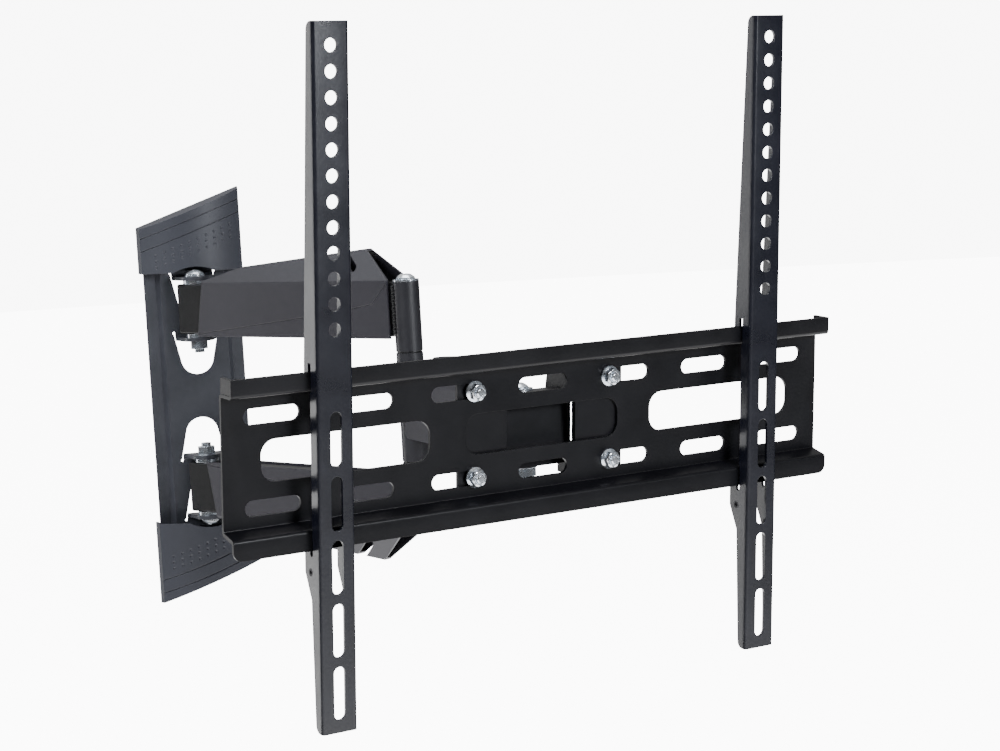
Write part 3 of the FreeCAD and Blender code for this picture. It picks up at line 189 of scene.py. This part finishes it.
class Shader:
    """A small wrapper that builds a node material step by step."""

    def __init__(self, name):
        self.material = bpy.data.materials.new(name)
        self.material.use_nodes = True
        self.tree = self.material.node_tree
        self.tree.nodes.clear()
        self.output = self.add("ShaderNodeOutputMaterial")
        self.surface = self.add("ShaderNodeBsdfPrincipled")
        self.link(self.surface.outputs["BSDF"], self.output.inputs["Surface"])
        self.coords = self.add("ShaderNodeTexCoord").outputs["Object"]

    def add(self, kind, **values):
        node = self.tree.nodes.new(kind)
        for key, value in values.items():
            setattr(node, key, value)
        return node

    def link(self, source, target):
        self.tree.links.new(source, target)

    def set(self, **values):
        """Sets named inputs of the surface to constants."""
        for key, value in values.items():
            self.surface.inputs[key.replace("_", " ")].default_value = value

    def noise(self, scale, detail=3.0, roughness=0.5, coords=None):
        """Noise from 0 to 1, with about scale cells to the metre."""
        node = self.add("ShaderNodeTexNoise")
        node.inputs["Scale"].default_value = scale
        node.inputs["Detail"].default_value = detail
        node.inputs["Roughness"].default_value = roughness
        self.link(coords or self.coords, node.inputs["Vector"])
        return node.outputs["Fac"]

    def spread(self, value, low, high, to_low=0.0, to_high=1.0):
        """Stretches the values from low to high over the values from to_low to to_high."""
        node = self.add("ShaderNodeMapRange")
        set_range(node, low, high, to_low, to_high)
        self.link(value, node.inputs["Value"])
        return node.outputs["Result"]

    def math(self, operation, first, second):
        """A sum, difference or product of numbers or outputs of other nodes."""
        node = self.add("ShaderNodeMath", operation=operation)
        for socket, value in zip(node.inputs, (first, second)):
            if isinstance(value, (int, float)):
                socket.default_value = value
            else:
                self.link(value, socket)
        return node.outputs["Value"]

    def mix_color(self, factor, first, second):
        """A blend of two colours, each a tuple or the output of another node."""
        node = self.add("ShaderNodeMix", data_type="RGBA")
        self.link(factor, node.inputs[0])
        for socket, value in ((node.inputs[6], first), (node.inputs[7], second)):
            if isinstance(value, tuple):
                socket.default_value = (*value, 1.0)
            else:
                self.link(value, socket)
        return node.outputs[2]

    def bump(self, height, distance_mm, normal=None):
        """The normal of a surface with bumps that are distance_mm high."""
        node = self.add("ShaderNodeBump")
        node.inputs["Distance"].default_value = distance_mm * MM
        self.link(height, node.inputs["Height"])
        if normal is not None:
            self.link(normal, node.inputs["Normal"])
        return node.outputs["Normal"]

    def rounded(self, radius_mm):
        """The normal of an edge that is rounded by radius_mm."""
        node = self.add("ShaderNodeBevel", samples=6)
        node.inputs["Radius"].default_value = radius_mm * MM
        return node.outputs["Normal"]

    def edges(self, rounded, soft, sharp):
        """1 on the rounded edges and 0 on the faces."""
        dot = self.add("ShaderNodeVectorMath", operation="DOT_PRODUCT")
        self.link(rounded, dot.inputs[0])
        self.link(self.add("ShaderNodeNewGeometry").outputs["Normal"], dot.inputs[1])
        return self.spread(dot.outputs["Value"], soft, sharp)

    def to(self, value, name):
        """Links a node's output to a named input of the surface."""
        self.link(value, self.surface.inputs[name])


# ---- materials -----------------------------------------------------------------------------
def brighter(color, factor, lift=0.0):
    """A colour times a factor, with a little white added."""
    return tuple(channel * factor + lift for channel in color)


def powder_coat(name, color, roughness, specular=0.5, coat=0.25):
    """Satin powder coat: orange peel, cloudy gloss, dust specks, and edges painted lighter in patches,
    partly coat worn thin and partly a painted highlight.
    """
    m = Shader(name)
    round_edge = m.rounded(0.4)
    on_edge = m.edges(round_edge, 0.997, 0.90)
    cloud = m.noise(scale=28.0, detail=4.0, roughness=0.6)
    wear_and_highlight_patches = m.noise(scale=110.0, detail=4.0, roughness=0.6)
    dust = m.noise(scale=900.0, detail=1.0, roughness=0.3)
    peel = m.noise(scale=420.0, detail=2.0, roughness=0.45)
    fine_peel = m.noise(scale=1500.0, detail=2.0, roughness=0.5)
    rubbed_and_edge_highlight = m.math("MULTIPLY", on_edge, m.spread(wear_and_highlight_patches, 0.42, 0.70))
    specks = m.spread(dust, 0.70, 0.76)
    tone = m.mix_color(m.spread(cloud, 0.35, 0.65), color, brighter(color, 1.25))
    tone = m.mix_color(m.math("MULTIPLY", specks, 0.35), tone, brighter(color, 1.6, 0.006))
    # painted highlight and wear: the rounded edges are painted lighter in patches, partly worn coat and
    # partly a painted edge highlight
    tone = m.mix_color(m.math("MULTIPLY", rubbed_and_edge_highlight, 0.7), tone, brighter(color, 2.2, 0.02))
    m.to(tone, "Base Color")
    gloss = m.spread(cloud, 0.3, 0.7, roughness - 0.04, roughness + 0.05)
    m.to(m.math("SUBTRACT", gloss, m.math("MULTIPLY", on_edge, 0.10)), "Roughness")
    height = m.math("ADD", peel, m.math("MULTIPLY", fine_peel, 0.4))
    m.to(m.bump(height, 0.05, round_edge), "Normal")
    m.set(Specular_IOR_Level=specular, Coat_Weight=coat, Coat_Roughness=0.20)
    return m.material


def moulded_plastic(name, color, roughness):
    """Matte moulded plastic: a fine spark-eroded grain, shinier where hands rub the edges, with every edge
    painted lighter as a painted highlight.
    """
    m = Shader(name)
    round_edge = m.rounded(0.6)
    on_edge = m.edges(round_edge, 0.997, 0.92)
    grain = m.noise(scale=1900.0, detail=2.0, roughness=0.6)
    cloud = m.noise(scale=18.0, detail=3.0, roughness=0.5)
    tone = m.mix_color(m.spread(cloud, 0.3, 0.7), color, brighter(color, 1.15))
    # painted highlight: the colour of every rounded edge is painted lighter, as if it caught the light
    tone = m.mix_color(m.math("MULTIPLY", on_edge, 0.4), tone, brighter(color, 1.5, 0.01))
    m.to(tone, "Base Color")
    gloss = m.spread(grain, 0.3, 0.7, roughness - 0.05, roughness + 0.05)
    m.to(m.math("SUBTRACT", gloss, m.math("MULTIPLY", on_edge, 0.12)), "Roughness")
    m.to(m.bump(grain, 0.05, round_edge), "Normal")
    m.set(Specular_IOR_Level=0.45)
    return m.material


def zinc_plating(name):
    """Bright zinc plate: faint drawn marks, cloudy roughness and a cool passivation tint."""
    m = Shader(name)
    stretch = m.add("ShaderNodeMapping")
    stretch.inputs["Scale"].default_value = (1.0, 1.0, 7.0)
    m.link(m.coords, stretch.inputs["Vector"])
    marks = m.noise(scale=1400.0, detail=3.0, roughness=0.6, coords=stretch.outputs["Vector"])
    cloud = m.noise(scale=160.0, detail=3.0, roughness=0.55)
    silver = (0.95, 0.97, 1.0)
    bluish = (0.817, 0.9021, 1.0)
    m.to(m.mix_color(m.spread(cloud, 0.38, 0.62), silver, bluish), "Base Color")
    m.to(m.spread(cloud, 0.3, 0.7, 0.10, 0.28), "Roughness")
    m.to(m.bump(marks, 0.02, m.rounded(0.25)), "Normal")
    m.set(Metallic=0.82)
    return m.material


def black_oxide(name):
    """Black screw steel: cloudy grey-black with a fine grain."""
    m = Shader(name)
    cloud = m.noise(scale=300.0, detail=3.0, roughness=0.5)
    dark = (0.03, 0.03, 0.034)
    pale = (0.06, 0.06, 0.066)
    m.to(m.mix_color(m.spread(cloud, 0.35, 0.65), dark, pale), "Base Color")
    m.to(m.bump(m.noise(scale=2000.0), 0.015), "Normal")
    m.set(Metallic=0.6, Roughness=0.45)
    return m.material


def make_materials():
    """The finishes by material slot, and for the sleeves a paler copy of the arm coat that paints on their
    sheen.
    """
    return {
        "wall_plate": powder_coat("wall_plate_coat", (0.046, 0.049, 0.060), 0.42),
        "arm_steel": powder_coat("arm_coat", (0.007, 0.007, 0.008), 0.34, 0.20, 0.06),
        # painted sheen: the sleeves carry the arm coat painted paler, standing in for the soft highlight on
        # their round sides
        "sleeve_steel_painted_sheen": powder_coat("sleeve_coat_painted_sheen", (0.018, 0.018, 0.023), 0.46, 0.5, 0.25),
        "head_steel": powder_coat("head_coat", (0.004, 0.004, 0.006), 0.38, 0.24, 0.05),
        "bar_steel": powder_coat("bar_coat", (0.007, 0.008, 0.016), 0.30, 0.55, 0.35),
        "cover_plastic": moulded_plastic("cover_plastic", (0.046, 0.049, 0.062), 0.46),
        "arm_plastic": moulded_plastic("arm_plastic", (0.026, 0.025, 0.033), 0.44),
        "spacer_plastic": moulded_plastic("spacer_plastic", (0.016, 0.016, 0.018), 0.35),
        "black_screw": black_oxide("black_screw"),
        "zinc": zinc_plating("zinc_plate"),
    }


def dress_nodes(materials):
    """Every CAD node gets the finish of its material slot; the round sleeves get a paler copy of the arm
    coat, a painted sheen.
    """
    for row in frame["record"]["subparts"]:
        node = NODES[row["node"]]
        finish = "sleeve_steel_painted_sheen" if "sleeve" in row["node"] else row["material_slot"]
        node.data.materials.clear()
        node.data.materials.append(materials[finish])


def attach(piece, materials, slot, body, node):
    """Gives a piece its finish, the body that it rides on and the CAD node that it replaces."""
    piece.data.materials.clear()
    piece.data.materials.append(materials[slot])
    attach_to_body(piece, body)
    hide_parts(node)


# ---- bent sheet metal ----------------------------------------------------------------------
def rounded_outline(corners, steps=CORNER_STEPS):
    """The points of an outline whose corners, given as (a, b, radius), are rounded."""
    points = []
    count = len(corners)
    for i in range(count):
        here = Vector(corners[i][:2])
        radius = corners[i][2]
        if radius == 0.0:
            points.append(tuple(here))
            continue
        before = (Vector(corners[i - 1][:2]) - here).normalized()
        after = (Vector(corners[(i + 1) % count][:2]) - here).normalized()
        half = before.angle(after) / 2
        centre = here + (before + after).normalized() * (radius / math.sin(half))
        start = here + before * (radius / math.tan(half)) - centre
        end = here + after * (radius / math.tan(half)) - centre
        sweep = start.angle_signed(end)
        for k in range(steps + 1):
            turned = start.copy()
            turned.rotate(Matrix.Rotation(-sweep * k / steps, 2))
            points.append(tuple(centre + turned))
    return points


def swept(mesh, outline, axis, start, end):
    """Adds to a mesh the solid that an outline sweeps along x, y or z."""
    def corner(point, along):
        place = list(point)
        place.insert("xyz".index(axis), along)
        return mesh.verts.new([value * MM for value in place])

    low = [corner(point, start) for point in outline]
    high = [corner(point, end) for point in outline]
    faces = [mesh.faces.new(low), mesh.faces.new(high)]
    for i in range(len(outline)):
        j = (i + 1) % len(outline)
        faces.append(mesh.faces.new((low[i], low[j], high[j], high[i])))
    bmesh.ops.recalc_face_normals(mesh, faces=faces)


def slot_outline(a, b, length, radius, upright):
    """A round-ended slot, or a round hole where the length is twice the radius."""
    half = length / 2 - radius
    is_hole = half < TINY
    points = []
    for side in (1, -1):
        # the second end of a hole starts and ends on points that the first has already made
        steps = range(1, ARC_STEPS) if is_hole and side == -1 else range(ARC_STEPS + 1)
        for k in steps:
            angle = math.pi * k / ARC_STEPS - side * math.pi / 2
            along = side * half + radius * math.cos(angle)
            across = radius * math.sin(angle)
            points.append((a - across, b + along) if upright else (a + along, b + across))
    return points


def round_hole(a, b, radius):
    """The outline of a round hole."""
    return slot_outline(a, b, 2 * radius, radius, upright=True)


def rectangle(a0, a1, b0, b1):
    """The corners of the rectangle from a0 to a1 and from b0 to b1."""
    return [(a0, b0), (a1, b0), (a1, b1), (a0, b1)]


def solid_object(name, solids):
    """An object from solids, each an outline, an axis and the two ends along it."""
    mesh = bmesh.new()
    for outline, axis, start, end in solids:
        swept(mesh, outline, axis, start, end)
    data = bpy.data.meshes.new(name)
    mesh.to_mesh(data)
    mesh.free()
    piece = bpy.data.objects.new(name, data)
    bpy.context.scene.collection.objects.link(piece)
    return piece


def combine(piece, other, operation):
    """Applies a boolean of two objects to the first and deletes the second."""
    step = piece.modifiers.new("combine", "BOOLEAN")
    step.object = other
    step.operation = operation
    step.solver = "EXACT"
    step.use_self = True
    bpy.context.view_layer.update()
    result = bpy.data.meshes.new_from_object(piece.evaluated_get(bpy.context.evaluated_depsgraph_get()))
    piece.modifiers.clear()
    piece.data = result
    bpy.data.objects.remove(other, do_unlink=True)


def soften(piece, width):
    """Bevels every sharp edge of a piece."""
    for face in piece.data.polygons:
        face.use_smooth = True
    piece.data.set_sharp_from_angle(angle=SHEET_CREASE)
    bevel = piece.modifiers.new("edges", "BEVEL")
    bevel.width = width * MM
    bevel.segments = 2
    bevel.limit_method = "ANGLE"
    bevel.angle_limit = BEVEL_ANGLE
    bevel.harden_normals = True
    bevel.miter_outer = "MITER_ARC"


def plate_frame():
    """Where the plate's own frame lies, from the record's slide axis and hole mounts."""
    record = frame["record"]
    hole = next(mount for mount in record["mounts"] if mount["name"] == "vesa_left_top_hole")
    slide = next(joint for joint in record["behaviour"]["joints"] if joint["name"] == "left_bar_slide")
    right = Vector(slide["axis"]).normalized()
    back = -Vector(hole["axis"]).normalized()
    turn = Matrix((right, back, right.cross(back))).transposed()
    in_frame = Vector((-BAR_X, BAR_Y + BAR_SHEET / 2, HOLE_TOP)) * MM
    return Matrix.Translation(Vector(hole["pos_m"]) - turn @ in_frame) @ turn.to_4x4()


def lip_corner(side):
    """What the round lower corner of the plate's lower lip takes away, at one end of the plate."""
    edge = side * PLATE_HALF
    start = edge - side * LIP_CORNER
    points = []
    for k in range(LIP_STEPS + 1):
        angle = math.pi / 2 * k / LIP_STEPS
        points.append((start + side * LIP_CORNER * math.sin(angle),
                       LOWER_LIP_END + LIP_CORNER * (1 - math.cos(angle))))
    below = LOWER_LIP_END - 1
    return points + [(edge + side, LOWER_LIP_END + LIP_CORNER), (edge + side, below), (start, below)]


def make_plate(materials):
    """The TV plate with properly rounded bends, slots and windows."""
    upper_front = UPPER_LIP_Y + SHEET
    lower_front = LOWER_LIP_Y + SHEET
    profile = [
        (SHEET, LOWER_BEND, OUTER_BEND), (SHEET, UPPER_SHELF + SHEET, OUTER_BEND),
        (upper_front, UPPER_SHELF + SHEET, INNER_BEND), (upper_front, UPPER_LIP_END, 0.0),
        (UPPER_LIP_Y, UPPER_LIP_END, 0.0), (UPPER_LIP_Y, UPPER_SHELF, OUTER_BEND),
        (0.0, UPPER_SHELF, INNER_BEND), (0.0, LOWER_BEND + SHEET, INNER_BEND),
        (LOWER_LIP_Y, LOWER_SHELF + SHEET, OUTER_BEND), (LOWER_LIP_Y, LOWER_LIP_END, 0.0),
        (lower_front, LOWER_LIP_END, 0.0), (lower_front, LOWER_SHELF, INNER_BEND),
    ]
    plate = solid_object("tv_plate", [(rounded_outline(profile), "x", -PLATE_HALF, PLATE_HALF)])

    through = ("y", -2 * SHEET, 2 * SHEET)
    cuts = []
    for row in SLOT_ROWS:
        for column in SLOT_COLUMNS:
            slot = slot_outline(column * SLOT_PITCH, row, SLOT_LENGTH, SLOT_RADIUS, upright=False)
            cuts.append((slot, *through))
    half, height = WINDOW_HALF
    for middle in WINDOW_MIDDLES:
        corners = rectangle(middle - half, middle + half, -height, height)
        window = rounded_outline([(a, b, WINDOW_CORNER) for a, b in corners], WINDOW_STEPS)
        cuts.append((window, *through))
    for side in (-1, 1):
        cuts.append((lip_corner(side), "y", LOWER_LIP_Y - SHEET, lower_front + SHEET))
    combine(plate, solid_object("cuts", cuts), "DIFFERENCE")

    stops = []
    for side in (-1, 1):
        low, high = sorted((side * PLATE_HALF, side * (PLATE_HALF - SHEET)))
        outline = rectangle(low, high, upper_front - STOP_OVERLAP, STOP_BACK)
        stops.append((outline, "z", UPPER_SHELF + SHEET + STOP_FOOT_GAP, UPPER_LIP_END))
    combine(plate, solid_object("stops", stops), "UNION")

    soften(plate, EDGE_BEVEL)
    plate.matrix_world = plate_frame()
    attach(plate, materials, "head_steel", "head", "vesa_plate")


def bar_cuts():
    """The round holes, slots, hook gaps and screw hole of a bar."""
    through_web = ("y", BAR_Y - BAR_SHEET, BAR_Y + 2 * BAR_SHEET)
    through_flanges = ("x", -BEYOND, BEYOND)
    cuts = []
    for i in range(HOLE_COUNT):
        cuts.append((round_hole(0.0, HOLE_TOP - i * HOLE_PITCH, HOLE_RADIUS), *through_web))
    for i in range(BAR_SLOT_COUNT):
        middle = BAR_SLOT_TOP - i * BAR_SLOT_PITCH
        slot = slot_outline(0.0, middle, BAR_SLOT_LENGTH, BAR_SLOT_RADIUS, upright=True)
        cuts.append((slot, *through_web))
    cuts.append((rectangle(*UPPER_GAP), *through_flanges))
    front, back, low, high = LOWER_GAP
    radius = (back - front) / 2
    length = high - low + radius
    cuts.append((slot_outline((front + back) / 2, low + length / 2, length, radius, upright=True),
                 *through_flanges))
    cuts.append((round_hole(*SCREW_PLACE, SCREW_RADIUS), "x", -BEYOND, 0.0))
    return cuts


def make_bar(materials, side):
    """A channel bar: a U section trimmed to its side view, with holes, slots and hook gaps."""
    inner = BAR_HALF - BAR_SHEET
    web_back = BAR_Y + BAR_SHEET
    section = [
        (-BAR_HALF, 0.0, 0.0), (-BAR_HALF, BAR_Y, BAR_BEND), (BAR_HALF, BAR_Y, BAR_BEND),
        (BAR_HALF, 0.0, 0.0), (inner, 0.0, 0.0), (inner, web_back, INNER_BEND),
        (-inner, web_back, INNER_BEND), (-inner, 0.0, 0.0),
    ]
    heights = [z for y, z, radius in BAR_OUTLINE]
    ends = (min(heights) - BEYOND, max(heights) + BEYOND)
    bar = solid_object(f"channel_bar_{side}", [(rounded_outline(section), "z", *ends)])
    side_view = solid_object("side_view", [(rounded_outline(BAR_OUTLINE), "x", -BEYOND, BEYOND)])
    combine(bar, side_view, "INTERSECT")
    combine(bar, solid_object("cuts", bar_cuts()), "DIFFERENCE")

    soften(bar, EDGE_BEVEL)
    place = -BAR_X if side == "left" else BAR_X
    bar.matrix_world = plate_frame() @ Matrix.Translation((place * MM, 0.0, 0.0))
    attach(bar, materials, "bar_steel", f"{side}_bar", f"vesa_bar_{side}")


# ---- threaded fasteners: heights and radii in millimetres ----------------------------------
def hex_radius(flats, angle):
    """Distance from the middle of a hexagon to its side, at an angle."""
    sixth = math.pi / 3
    return flats / 2 / math.cos((angle + sixth / 2) % sixth - sixth / 2)


def stacked(name, rings, closed=False):
    """A mesh of rings, each a height and a radius that is a number or a function of the angle."""
    mesh = bmesh.new()
    loops = []
    for height, radius in rings:
        loop = []
        for i in range(AROUND):
            angle = 2 * math.pi * i / AROUND
            r = radius(angle) if callable(radius) else radius
            loop.append(mesh.verts.new((r * math.cos(angle) * MM, r * math.sin(angle) * MM, height * MM)))
        loops.append(loop)
    pairs = list(zip(loops, loops[1:]))
    if closed:
        pairs.append((loops[-1], loops[0]))
    else:
        mesh.faces.new(reversed(loops[0]))
        mesh.faces.new(loops[-1])
    for low, high in pairs:
        for i in range(AROUND):
            j = (i + 1) % AROUND
            mesh.faces.new((low[i], low[j], high[j], high[i]))
    bmesh.ops.recalc_face_normals(mesh, faces=mesh.faces)
    data = bpy.data.meshes.new(name)
    mesh.to_mesh(data)
    mesh.free()
    for face in data.polygons:
        face.use_smooth = True
    data.set_sharp_from_angle(angle=FASTENER_CREASE)
    piece = bpy.data.objects.new(name, data)
    bpy.context.scene.collection.objects.link(piece)
    return piece


def thread_radius(height):
    """The helix of a thread: the radius at a height, as a function of the angle."""
    def radius(angle):
        phase = (height / STUD_PITCH - angle / (2 * math.pi)) % 1.0
        return STUD_RADIUS - THREAD_DEPTH * abs(2 * phase - 1)
    return radius


def stud_rings(length):
    """A carriage stud: domed head, plain neck, and a threaded end with a chamfered tip."""
    rings = []
    for i in range(DOME_STEPS):
        rise = math.pi / 2 * i / DOME_STEPS
        rings.append((-STUD_HEAD_HEIGHT * math.cos(rise), max(STUD_HEAD_RADIUS * math.sin(rise), DOME_TIP)))
    rings += [(0.0, STUD_HEAD_RADIUS), (STEP, STUD_RADIUS), (STUD_GRIP, STUD_RADIUS)]
    height = STUD_GRIP
    while height < length - THREAD_RUNOUT:
        rings.append((height + STEP, thread_radius(height)))
        height += STUD_PITCH / THREAD_STEPS
    rings.append((length - STUD_TIP_HEIGHT, STUD_RADIUS - THREAD_DEPTH))
    rings.append((length, STUD_RADIUS - STUD_TIP_CHAMFER))
    return rings


def nut_rings():
    """A hexagonal nut with a serrated flange, on height 0, with its corners turned off."""
    def serrated(angle):
        return NUT_FLANGE_RADIUS - SERRATION_DEPTH * (math.sin(SERRATIONS * angle) > 0)

    def hexagon(limit):
        return lambda angle: min(hex_radius(NUT_FLATS, angle), limit)

    corner = NUT_FLATS / math.sqrt(3)
    bore = STUD_RADIUS + NUT_PLAY
    flange = [
        (0.0, bore), (0.0, serrated), (0.35, serrated), (0.5, NUT_FLANGE_RADIUS),
        (NUT_FLANGE_RIM, NUT_FLANGE_RADIUS), (NUT_FLANGE_RIM + 0.35, NUT_FLANGE_RADIUS - 0.45),
    ]
    sides = [
        (NUT_FLANGE_RIM + 1.0, hexagon(corner + 0.05)), (NUT_HEIGHT - 0.55, hexagon(corner)),
        (NUT_HEIGHT - 0.2, hexagon(corner - 0.45)), (NUT_HEIGHT, hexagon(NUT_FLATS / 2 - 0.15)),
    ]
    countersink = [(NUT_HEIGHT, bore + NUT_COUNTERSINK), (NUT_HEIGHT - 0.5, bore)]
    return flange + sides + countersink


def separate_solids(node):
    """The corners of each separate solid of a CAD node."""
    mesh = bmesh.new()
    mesh.from_mesh(NODES[node].data)
    bmesh.ops.remove_doubles(mesh, verts=mesh.verts, dist=1e-6)
    seen = set()
    groups = []
    for seed in mesh.verts:
        if seed in seen:
            continue
        seen.add(seed)
        group = [seed]
        for vert in group:
            for edge in vert.link_edges:
                neighbour = edge.other_vert(vert)
                if neighbour not in seen:
                    seen.add(neighbour)
                    group.append(neighbour)
        groups.append([vert.co.copy() for vert in group])
    mesh.free()
    return groups


def middle_of(corners):
    """The mean place of some corners."""
    return sum(corners, Vector()) / len(corners)


def plate_fasteners(materials):
    """Threaded studs and serrated flange nuts in the places of the plain CAD ones."""
    plate = plate_frame()
    turn = plate.to_3x3().to_4x4() @ Matrix.Rotation(math.pi / 2, 4, "X")
    forward = turn.to_3x3().col[2].copy()

    def in_reading_order(node):
        """The node's solids, from the upper left of the plate to the lower right."""
        def place(corners):
            x, y, z = plate.inverted() @ middle_of(corners)
            return z < 0, x
        return sorted(separate_solids(node), key=place)

    def seated(corners, seat):
        """Where a piece goes that stands in a solid's middle, seated at a place along its axis."""
        centre = middle_of(corners)
        return Matrix.Translation(centre + forward * (seat - centre.dot(forward))) @ turn

    for i, corners in enumerate(in_reading_order("plate_studs")):
        depths = [corner.dot(forward) for corner in corners]
        seat = min(depths) + STUD_HEAD_HEIGHT * MM
        stud = stacked(f"threaded_stud_{i + 1}", stud_rings((max(depths) - seat) / MM))
        stud.matrix_world = seated(corners, seat)
        attach(stud, materials, "zinc", "head", "plate_studs")
    for i, corners in enumerate(in_reading_order("plate_nuts")):
        seat = min(corner.dot(forward) for corner in corners)
        nut = stacked(f"flange_nut_{i + 1}", nut_rings(), closed=True)
        nut.matrix_world = seated(corners, seat) @ Matrix.Rotation(NUT_TURNS[i], 4, "Z")
        attach(nut, materials, "zinc", "head", "plate_nuts")


# ---- stage ---------------------------------------------------------------------------------
def make_floor():
    """A pale glowing floor that lights and reflects in nothing."""
    centre = (LOW + HIGH) / 2
    bpy.ops.mesh.primitive_circle_add(vertices=128, radius=FLOOR_RADIUS, fill_type="NGON",
                                      location=(centre.x, centre.y, LOW.z - FLOOR_DROP))
    floor = bpy.context.object
    floor.name = "floor"
    m = Shader("floor_pale")
    m.set(Roughness=0.9, Base_Color=(0.93, 0.93, 0.93, 1.0), Emission_Color=(1.0, 1.0, 1.0, 1.0),
          Emission_Strength=FLOOR_GLOW, Specular_IOR_Level=0.1)
    floor.data.materials.append(m.material)
    floor.visible_diffuse = False
    floor.visible_glossy = False


def make_world():
    """A white backdrop for the camera, in a studio that is dim but for its back, floor and ceiling."""
    world = bpy.data.worlds.new("studio")
    bpy.context.scene.world = world
    world.use_nodes = True
    tree = world.node_tree
    tree.nodes.clear()
    output = tree.nodes.new("ShaderNodeOutputWorld")
    mix = tree.nodes.new("ShaderNodeMixShader")
    light_path = tree.nodes.new("ShaderNodeLightPath")
    surround = tree.nodes.new("ShaderNodeBackground")
    backdrop = tree.nodes.new("ShaderNodeBackground")
    backdrop.inputs["Strength"].default_value = BACKDROP_GLOW
    tree.links.new(light_path.outputs["Is Camera Ray"], mix.inputs[0])
    tree.links.new(surround.outputs[0], mix.inputs[1])
    tree.links.new(backdrop.outputs[0], mix.inputs[2])
    tree.links.new(mix.outputs[0], output.inputs["Surface"])
    coords = tree.nodes.new("ShaderNodeTexCoord")
    split = tree.nodes.new("ShaderNodeSeparateXYZ")
    tree.links.new(coords.outputs["Generated"], split.inputs[0])
    parts = []
    for axis, low, high, dim, bright in SURROUND:
        ramp = tree.nodes.new("ShaderNodeMapRange")
        ramp.interpolation_type = "SMOOTHSTEP"
        set_range(ramp, low, high, dim, bright)
        tree.links.new(split.outputs[axis], ramp.inputs["Value"])
        parts.append(ramp.outputs["Result"])
    total = parts[0]
    for part in parts[1:]:
        add = tree.nodes.new("ShaderNodeMath")
        tree.links.new(total, add.inputs[0])
        tree.links.new(part, add.inputs[1])
        total = add.outputs[0]
    tree.links.new(total, surround.inputs["Strength"])


def make_lights():
    """Soft rectangular lights that point at the middle of the mount."""
    middle = (LOW + HIGH) / 2
    for name, place, size, watts, color in LIGHTS:
        data = bpy.data.lights.new(name, "AREA")
        data.shape = "RECTANGLE"
        data.size, data.size_y = size
        data.energy = watts
        data.color = color
        light = bpy.data.objects.new(name, data)
        bpy.context.scene.collection.objects.link(light)
        light.location = place
        light.rotation_euler = (middle - Vector(place)).to_track_quat("-Z", "Y").to_euler()


def make_camera():
    """The camera, turned by its roll about its line of sight."""
    data = bpy.data.cameras.new("camera")
    data.sensor_width = SENSOR_MM
    data.lens = LENS_MM
    camera = bpy.data.objects.new("camera", data)
    bpy.context.scene.collection.objects.link(camera)
    level = CAMERA_FORWARD.cross(Vector((0, 0, 1))).normalized()
    upright = level.cross(CAMERA_FORWARD)
    right = level * math.cos(CAMERA_ROLL) - upright * math.sin(CAMERA_ROLL)
    up = right.cross(CAMERA_FORWARD)
    turn = Matrix((right, up, -CAMERA_FORWARD)).transposed()
    camera.matrix_world = Matrix.Translation(CAMERA_PLACE) @ turn.to_4x4()
    bpy.context.scene.camera = camera


finishes = make_materials()
dress_nodes(finishes)
plate_fasteners(finishes)
make_plate(finishes)
make_bar(finishes, "left")
make_bar(finishes, "right")
make_floor()
make_world()
make_lights()
make_camera()
